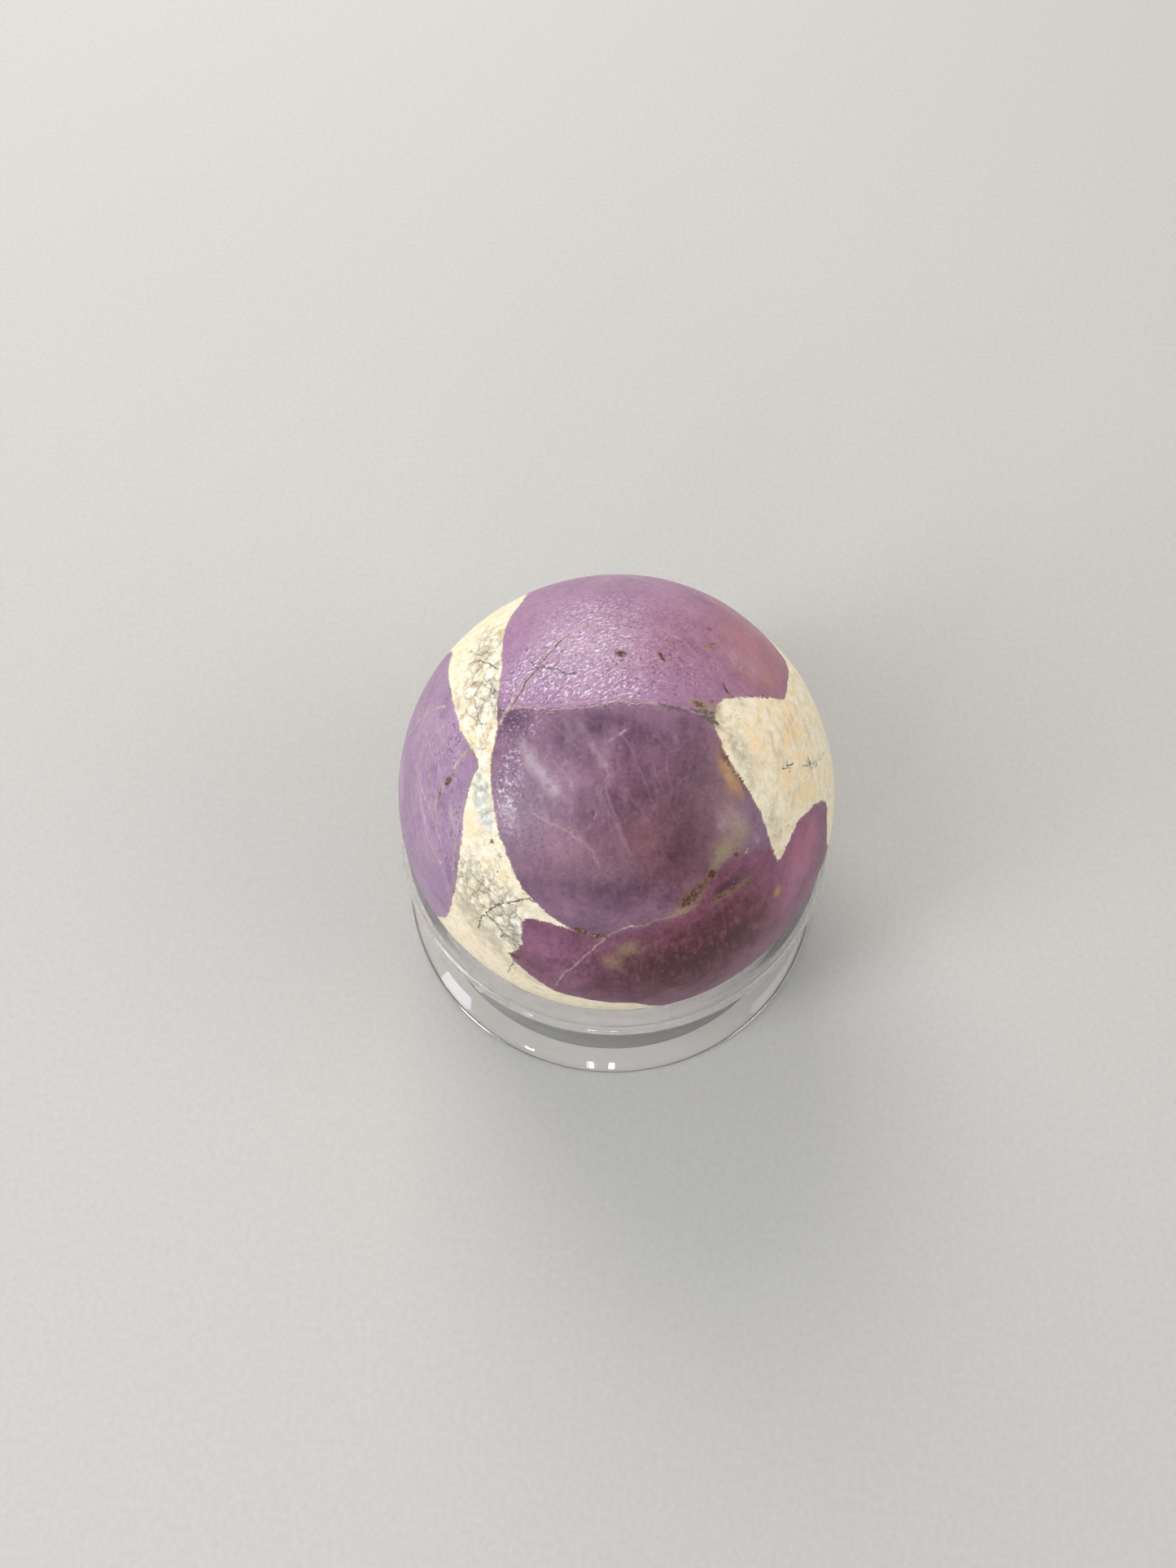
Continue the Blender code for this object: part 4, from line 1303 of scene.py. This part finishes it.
def stone_marks(tree, patterns):
    """Every mark of the stone, read from the mesh, with its edges and lines made to wander."""
    marks = {name: add(tree, "Attribute", output="Fac", attribute_name=name) for name in FIELDS}
    marks["all"] = 1.0
    wander = -sum(WANDER_MM.values()) / 2
    for name, reach in WANDER_MM.items():
        share = {0: patterns[name], 1: reach, 2: wander}
        wander = add(tree, "Math", share, operation="MULTIPLY_ADD")
    marks["wander"] = wander
    veined = {0: patterns["billows"], 1: patterns["vein_near"]}
    veined = {0: add(tree, "Math", veined, operation="MULTIPLY"), 1: marks["wispy"]}
    marks["veined"] = add(tree, "Math", veined, operation="MULTIPLY")
    for line in LINES:
        marks[line] = line_shown(tree, line, marks, patterns)
    edge = add(tree, "Math", {0: marks["matrix"], 1: wander})
    marks["in_matrix"] = add(tree, "MapRange", {
        "Value": edge, "From Min": -MATRIX_BLUR_MM, "From Max": MATRIX_BLUR_MM,
    })
    rim = add(tree, "Math", {0: edge}, operation="ABSOLUTE")
    marks["rim"] = add(tree, "MapRange", {
        "Value": rim, "From Min": RIM_FULL_MM, "From Max": RIM_GONE_MM,
        "To Min": 1.0, "To Max": 0.0,
    })
    return marks


def layered(tree, colour, layers, marks, patterns, settings):
    """A colour under layers, each of which shows where its mark times its pattern is high."""
    for mark, name, start, full, cover, tint in layers:
        shown = add(tree, "Math", {0: marks[mark], 1: patterns[name]}, operation="MULTIPLY")
        shown = add(tree, "MapRange", {
            "Value": shown, "From Min": start, "From Max": full, "To Min": 0.0, "To Max": cover,
        }, interpolation_type="SMOOTHSTEP")
        shades = {FACTOR: shown, FIRST: colour, SECOND: getattr(settings, tint)}
        colour = add(tree, "Mix", shades, MIXED, data_type="RGBA")
    return colour


def purple_colour(tree, marks, patterns, settings):
    """The purple of each block: cloudy and streaky, hazy in places, speckled where grainy, with
    painted glints where it sparkles.
    """
    depth = marks["deep"]
    for name, weight in DEPTH_WEIGHTS.items():
        share = {0: patterns[name], 1: weight, 2: depth}
        depth = add(tree, "Math", share, operation="MULTIPLY_ADD")
    depth = add(tree, "MapRange", {
        "Value": depth, "From Min": PALE_DEPTH, "From Max": FULL_DEPTH,
    })
    tones = {"pale": settings.middle_pale, "deep": settings.middle_deep}
    for block, (blur, _) in BLOCKS.items():
        edge = add(tree, "Math", {0: marks[f"{block}_block"], 1: marks["wander"]})
        inside = add(tree, "MapRange", {
            "Value": edge, "From Min": -blur, "From Max": blur,
        }, interpolation_type="SMOOTHSTEP")
        for tone, under in tuple(tones.items()):
            shades = {FACTOR: inside, FIRST: under, SECOND: getattr(settings, f"{block}_{tone}")}
            tones[tone] = add(tree, "Mix", shades, MIXED, data_type="RGBA")
    shades = {FACTOR: depth, FIRST: tones["pale"], SECOND: tones["deep"]}
    purple = add(tree, "Mix", shades, MIXED, data_type="RGBA")
    shades = {FACTOR: marks["rosy"], FIRST: purple, SECOND: settings.rosy}
    purple = add(tree, "Mix", shades, MIXED, data_type="RGBA", blend_type="MULTIPLY")
    return layered(tree, purple, PURPLE_LAYERS, marks, patterns, settings)


def stone_roughness(tree, marks, patterns, settings):
    """How dull the stone is: the matrix, the mottled places and the stains are duller."""
    dull = add(tree, "MapRange", {
        "Value": marks["in_matrix"],
        "To Min": settings.purple_roughness, "To Max": settings.matrix_roughness,
    })
    for place, dulls in ((patterns["mottle"], MOTTLE_DULLS), (marks["brown"], STAIN_DULLS)):
        dull = add(tree, "Math", {0: place, 1: dulls, 2: dull}, operation="MULTIPLY_ADD")
    return add(tree, "Math", {0: dull, 1: POLISH_GAIN}, operation="SUBTRACT")


def stone_bump(tree, marks, patterns):
    """The fine relief: raised shards of cleavage, sunk dark grains, the net and the cracks."""
    height = {0: patterns["shards"], 1: marks["sparkle"]}
    height = add(tree, "Math", height, operation="MULTIPLY")
    height = {0: patterns["dark_grain"], 1: GRAIN_RISE, 2: height}
    height = add(tree, "Math", height, operation="MULTIPLY_ADD")
    sunk = add(tree, "Math", {0: patterns["net"], 1: marks["crackled"]}, operation="MULTIPLY")
    sunk = add(tree, "Math", {0: sunk, 1: marks["in_matrix"]}, operation="MULTIPLY")
    sunk = {0: marks["crack"], 1: CRACK_SINK, 2: sunk}
    sunk = add(tree, "Math", sunk, operation="MULTIPLY_ADD")
    height = add(tree, "Math", {0: height, 1: sunk}, operation="SUBTRACT")
    return add(tree, "Bump", {"Height": height, "Distance": BUMP_MM * MM})


def purpurite_material(settings):
    """Purpurite blocks in feldspar matrix, ground and polished.

    The polish gives a broad satin highlight; the cleavage breaks it into fine glints, which are
    also painted into the colour as pale specks, and the softer matrix and the lined pits stay
    duller.
    """
    material, tree, shader, place = new_material("polished purpurite in matrix")
    patterns = stone_patterns(tree, place)
    marks = stone_marks(tree, patterns)
    purple = purple_colour(tree, marks, patterns, settings)
    matrix = layered(tree, settings.cream, MATRIX_LAYERS, marks, patterns, settings)
    shades = {FACTOR: marks["in_matrix"], FIRST: purple, SECOND: matrix}
    stone = add(tree, "Mix", shades, MIXED, data_type="RGBA")
    stone = layered(tree, stone, STAIN_LAYERS, marks, patterns, settings)
    dull = stone_roughness(tree, marks, patterns, settings)
    tree.links.new(stone, shader.inputs["Base Color"])
    tree.links.new(dull, shader.inputs["Roughness"])
    tree.links.new(stone_bump(tree, marks, patterns), shader.inputs["Normal"])
    shader.inputs["IOR"].default_value = STONE_IOR
    return material


def arc(centre, radius, start, end, points):
    """Points along an arc from one angle to another in radians, without the last one."""
    steps = (start + (end - start) * step / points for step in range(points))
    return [(centre[0] + radius * math.cos(a), centre[1] + radius * math.sin(a)) for a in steps]


def angle_to(centre, point):
    """The angle at which a point lies, seen from a centre."""
    return math.atan2(point[1] - centre[1], point[0] - centre[0])


def wall_arc(waist, bead, bead_radius):
    """The centre and radius of the arc that stands upright at the waist and meets a bead."""
    inward, rise = bead[0] - waist[0], bead[1] - waist[1]
    radius = (inward**2 + rise**2 - bead_radius**2) / (2 * (inward + bead_radius))
    return (waist[0] + radius, waist[1]), radius


def ring_section(settings):
    """Half of the ring's section as (radius, height) points, from the rim's outside down."""
    curve, waist_height = settings.inner_curve, settings.waist_height
    reach = BALL_RADIUS + settings.seat_gap + curve
    inner = (math.sqrt(reach**2 - (BALL_CENTRE.z - waist_height) ** 2), waist_height)
    inner_waist = inner[0] - curve
    waist = (inner_waist + settings.waist_wall, waist_height)
    inner_foot = (inner_waist + settings.foot_curve, waist_height)
    rim_height = settings.height - settings.rim_round
    rim_reach = curve - settings.rim_round
    rim_rise = rim_height - waist_height
    rim = (inner[0] - math.sqrt(rim_reach**2 - rim_rise**2), rim_height)
    foot = (settings.foot_radius - settings.foot_round, settings.foot_round)
    upper, upper_curve = wall_arc(waist, rim, settings.rim_round)
    lower, lower_curve = wall_arc(waist, foot, settings.foot_round)

    rim_inner = angle_to(inner, rim)
    foot_inner = math.pi + math.asin(waist_height / settings.foot_curve)
    foot_outer = angle_to(lower, foot) + 2 * math.pi
    section = arc(upper, upper_curve, angle_to(upper, rim), math.pi, WALL_POINTS)
    section += arc(lower, lower_curve, math.pi, foot_outer, WALL_POINTS)
    section += arc(foot, settings.foot_round, angle_to(foot, lower), -math.pi / 2, ROUND_POINTS)
    section.append((foot[0], 0.0))
    section += arc(inner_foot, settings.foot_curve, foot_inner, math.pi, WALL_POINTS)
    section += arc(inner, curve, math.pi, rim_inner, WALL_POINTS)
    section += arc(rim, settings.rim_round, rim_inner, angle_to(rim, upper), ROUND_POINTS + 1)
    return section


def make_stand(settings):
    """The clear ring, spun from its section."""
    builder = bmesh.new()
    corners = [builder.verts.new((radius, 0.0, height)) for radius, height in ring_section(settings)]
    edges = [builder.edges.new(pair) for pair in zip(corners, corners[1:] + corners[:1])]
    bmesh.ops.spin(
        builder, geom=corners + edges, cent=(0.0, 0.0, 0.0), axis=(0.0, 0.0, 1.0),
        angle=2 * math.pi, steps=settings.steps, use_merge=True,
    )
    bmesh.ops.recalc_face_normals(builder, faces=builder.faces)
    for face in builder.faces:
        face.material_index = int(all(vert.co.z < FLAT_HEIGHT for vert in face.verts))
    mesh = bpy.data.meshes.new("clear_ring")
    builder.to_mesh(mesh)
    builder.free()
    mesh.shade_smooth()
    mesh.set_sharp_from_angle(angle=math.radians(SHARP_DEGREES))
    material = acrylic_material(settings)
    ring = new_piece("clear_ring", mesh, material, "ring_stand")
    mesh.materials.append(ground_material(settings))
    return ring


def acrylic_material(settings):
    """Acrylic, injection moulded and handled.

    It is glassy and bends what lies behind it; faint smears and hairline scratches dull the shine.
    """
    material, tree, shader, place = new_material("moulded clear acrylic")
    smears = pattern(tree, place, *SMEARS)
    dull = {0: smears, 1: SMEAR_DULLS, 2: settings.roughness}
    dull = add(tree, "Math", dull, operation="MULTIPLY_ADD")
    tree.links.new(dull, shader.inputs["Roughness"])
    scratches = pattern(tree, place, *SCRATCHES)
    bump = add(tree, "Bump", {"Height": scratches, "Distance": SCRATCH_DEPTH}, invert=True)
    tree.links.new(bump, shader.inputs["Normal"])
    shader.inputs["Base Color"].default_value = settings.tint
    shader.inputs["Transmission Weight"].default_value = 1.0
    shader.inputs["IOR"].default_value = ACRYLIC_IOR
    return material


def ground_material(settings):
    """Acrylic, ground flat on a wheel.

    The grinding leaves it frosted, so it shows as a pale band through the clear foot.
    """
    material, tree, shader, place = new_material("ground acrylic")
    frost = pattern(tree, place, *FROST)
    shades = {FACTOR: frost, FIRST: settings.ground_deep, SECOND: settings.ground_pale}
    colour = add(tree, "Mix", shades, MIXED, data_type="RGBA")
    tree.links.new(colour, shader.inputs["Base Color"])
    shader.inputs["Roughness"].default_value = FROST_ROUGHNESS
    shader.inputs["IOR"].default_value = ACRYLIC_IOR
    return material


def floor_material(settings):
    """Heavy card, plain and matt, with the faint tooth of its fibres."""
    material, tree, shader, place = new_material("plain matt card")
    tooth = pattern(tree, place, *CARD_TOOTH)
    lighter = {0: tooth, 1: CARD_CONTRAST, 2: 1 - CARD_CONTRAST / 2}
    lighter = add(tree, "Math", lighter, operation="MULTIPLY_ADD")
    shades = {FACTOR: 1.0, FIRST: settings.floor, SECOND: lighter}
    colour = add(tree, "Mix", shades, MIXED, data_type="RGBA", blend_type="MULTIPLY")
    tree.links.new(colour, shader.inputs["Base Color"])
    shader.inputs["Roughness"].default_value = CARD_ROUGHNESS
    return material


def add_light(name, azimuth, elevation, reach, size, colour, power):
    """A soft light that faces the ball from a direction round it."""
    data = bpy.data.lights.new(name, "AREA")
    data.shape = "RECTANGLE"
    data.size, data.size_y = size
    data.energy = power
    data.color = linear(colour)[:3]
    light = bpy.data.objects.new(name, data)
    bpy.context.scene.collection.objects.link(light)
    outward = direction(azimuth, elevation)
    facing = outward.to_track_quat("Z", "Y").to_matrix().to_4x4()
    light.matrix_world = Matrix.Translation(BALL_CENTRE + outward * reach) @ facing
    light.visible_camera = False


def make_floor(settings):
    """A pale floor that the ring stands on."""
    builder = bmesh.new()
    bmesh.ops.create_grid(
        builder, x_segments=1, y_segments=1, size=settings.floor_size / 2,
        matrix=Matrix.Translation((0.0, 0.0, RING_LOW.z - FLOOR_GAP)),
    )
    mesh = bpy.data.meshes.new("floor")
    builder.to_mesh(mesh)
    builder.free()
    mesh.materials.append(floor_material(settings))
    floor = bpy.data.objects.new("floor", mesh)
    bpy.context.scene.collection.objects.link(floor)
    floor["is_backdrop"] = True


def make_lights(settings):
    """The soft lights, the front glints and a plain grey light from all round."""
    for name, row in LIGHTS.items():
        add_light(name, *row, getattr(settings, f"{name}_power"))
    for number, (azimuth, elevation, width) in enumerate(GLINT_LIGHTS):
        size = (width, GLINT_HEIGHT)
        power = settings.glint_power * width / GLINT_HEIGHT
        name = f"glint_{number}"
        add_light(name, azimuth, elevation, GLINT_REACH, size, GLINT_COLOUR, power)
    world = bpy.data.worlds.new("surroundings")
    world.use_nodes = True
    background = world.node_tree.nodes["Background"]
    background.inputs["Color"].default_value = settings.surroundings
    scene = bpy.context.scene
    scene.world = world
    scene.view_settings.view_transform = "Standard"
    scene.cycles.max_bounces = LIGHT_BOUNCES
    scene.cycles.glossy_bounces = LIGHT_BOUNCES
    scene.cycles.transmission_bounces = LIGHT_BOUNCES


def make_camera():
    """The camera where the photograph was taken from."""
    data = bpy.data.cameras.new("camera")
    data.sensor_width = SENSOR_MM
    data.lens = SENSOR_MM * FOCAL_PIXELS / PHOTO_HEIGHT
    data.clip_start = CAMERA_CLIP
    camera = bpy.data.objects.new("camera", data)
    camera.matrix_world = CAMERA_PLACE
    bpy.context.scene.collection.objects.link(camera)
    bpy.context.scene.camera = camera


class SPECIMEN_OT_make_ball(bpy.types.Operator):
    """Makes the polished purpurite ball"""

    bl_idname = "specimen.make_ball"
    bl_label = "Polished Ball"

    def execute(self, context):
        make_ball(context.scene.specimen_ball)
        return {"FINISHED"}


class SPECIMEN_OT_make_stand(bpy.types.Operator):
    """Makes the clear ring that the ball rests on"""

    bl_idname = "specimen.make_stand"
    bl_label = "Clear Ring Stand"

    def execute(self, context):
        make_stand(context.scene.specimen_stand)
        return {"FINISHED"}


class SPECIMEN_OT_make_stage(bpy.types.Operator):
    """Makes the floor, the lights and the camera"""

    bl_idname = "specimen.make_stage"
    bl_label = "Stage"

    def execute(self, context):
        make_floor(context.scene.specimen_stage)
        make_lights(context.scene.specimen_stage)
        make_camera()
        return {"FINISHED"}


class SPECIMEN_PT_panel(bpy.types.Panel):
    """Lists the pieces and their settings in the sidebar"""

    bl_label = "Purpurite Specimen"
    bl_idname = "SPECIMEN_PT_panel"
    bl_space_type = "VIEW_3D"
    bl_region_type = "UI"
    bl_category = "Specimen"

    def draw(self, context):
        groups = (
            ("specimen.make_stage", context.scene.specimen_stage),
            ("specimen.make_ball", context.scene.specimen_ball),
            ("specimen.make_stand", context.scene.specimen_stand),
        )
        for operator, settings in groups:
            box = self.layout.box()
            box.operator(operator)
            for name in settings.__annotations__:
                box.prop(settings, name)


CLASSES = (
    SpecimenBallSettings,
    SpecimenStandSettings,
    SpecimenStageSettings,
    SPECIMEN_OT_make_ball,
    SPECIMEN_OT_make_stand,
    SPECIMEN_OT_make_stage,
    SPECIMEN_PT_panel,
)


def register():
    for item in CLASSES:
        bpy.utils.register_class(item)
    bpy.types.Scene.specimen_ball = bpy.props.PointerProperty(type=SpecimenBallSettings)
    bpy.types.Scene.specimen_stand = bpy.props.PointerProperty(type=SpecimenStandSettings)
    bpy.types.Scene.specimen_stage = bpy.props.PointerProperty(type=SpecimenStageSettings)


def unregister():
    del bpy.types.Scene.specimen_stage
    del bpy.types.Scene.specimen_stand
    del bpy.types.Scene.specimen_ball
    for item in reversed(CLASSES):
        bpy.utils.unregister_class(item)


def main():
    register()
    bpy.ops.specimen.make_stage()
    bpy.ops.specimen.make_ball()
    bpy.ops.specimen.make_stand()
    sizes = {"cad": cad_bounds, "visual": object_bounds()}
    sizes = {name: [list(corner) for corner in corners] for name, corners in sizes.items()}


if __name__ == "__main__":
    main()
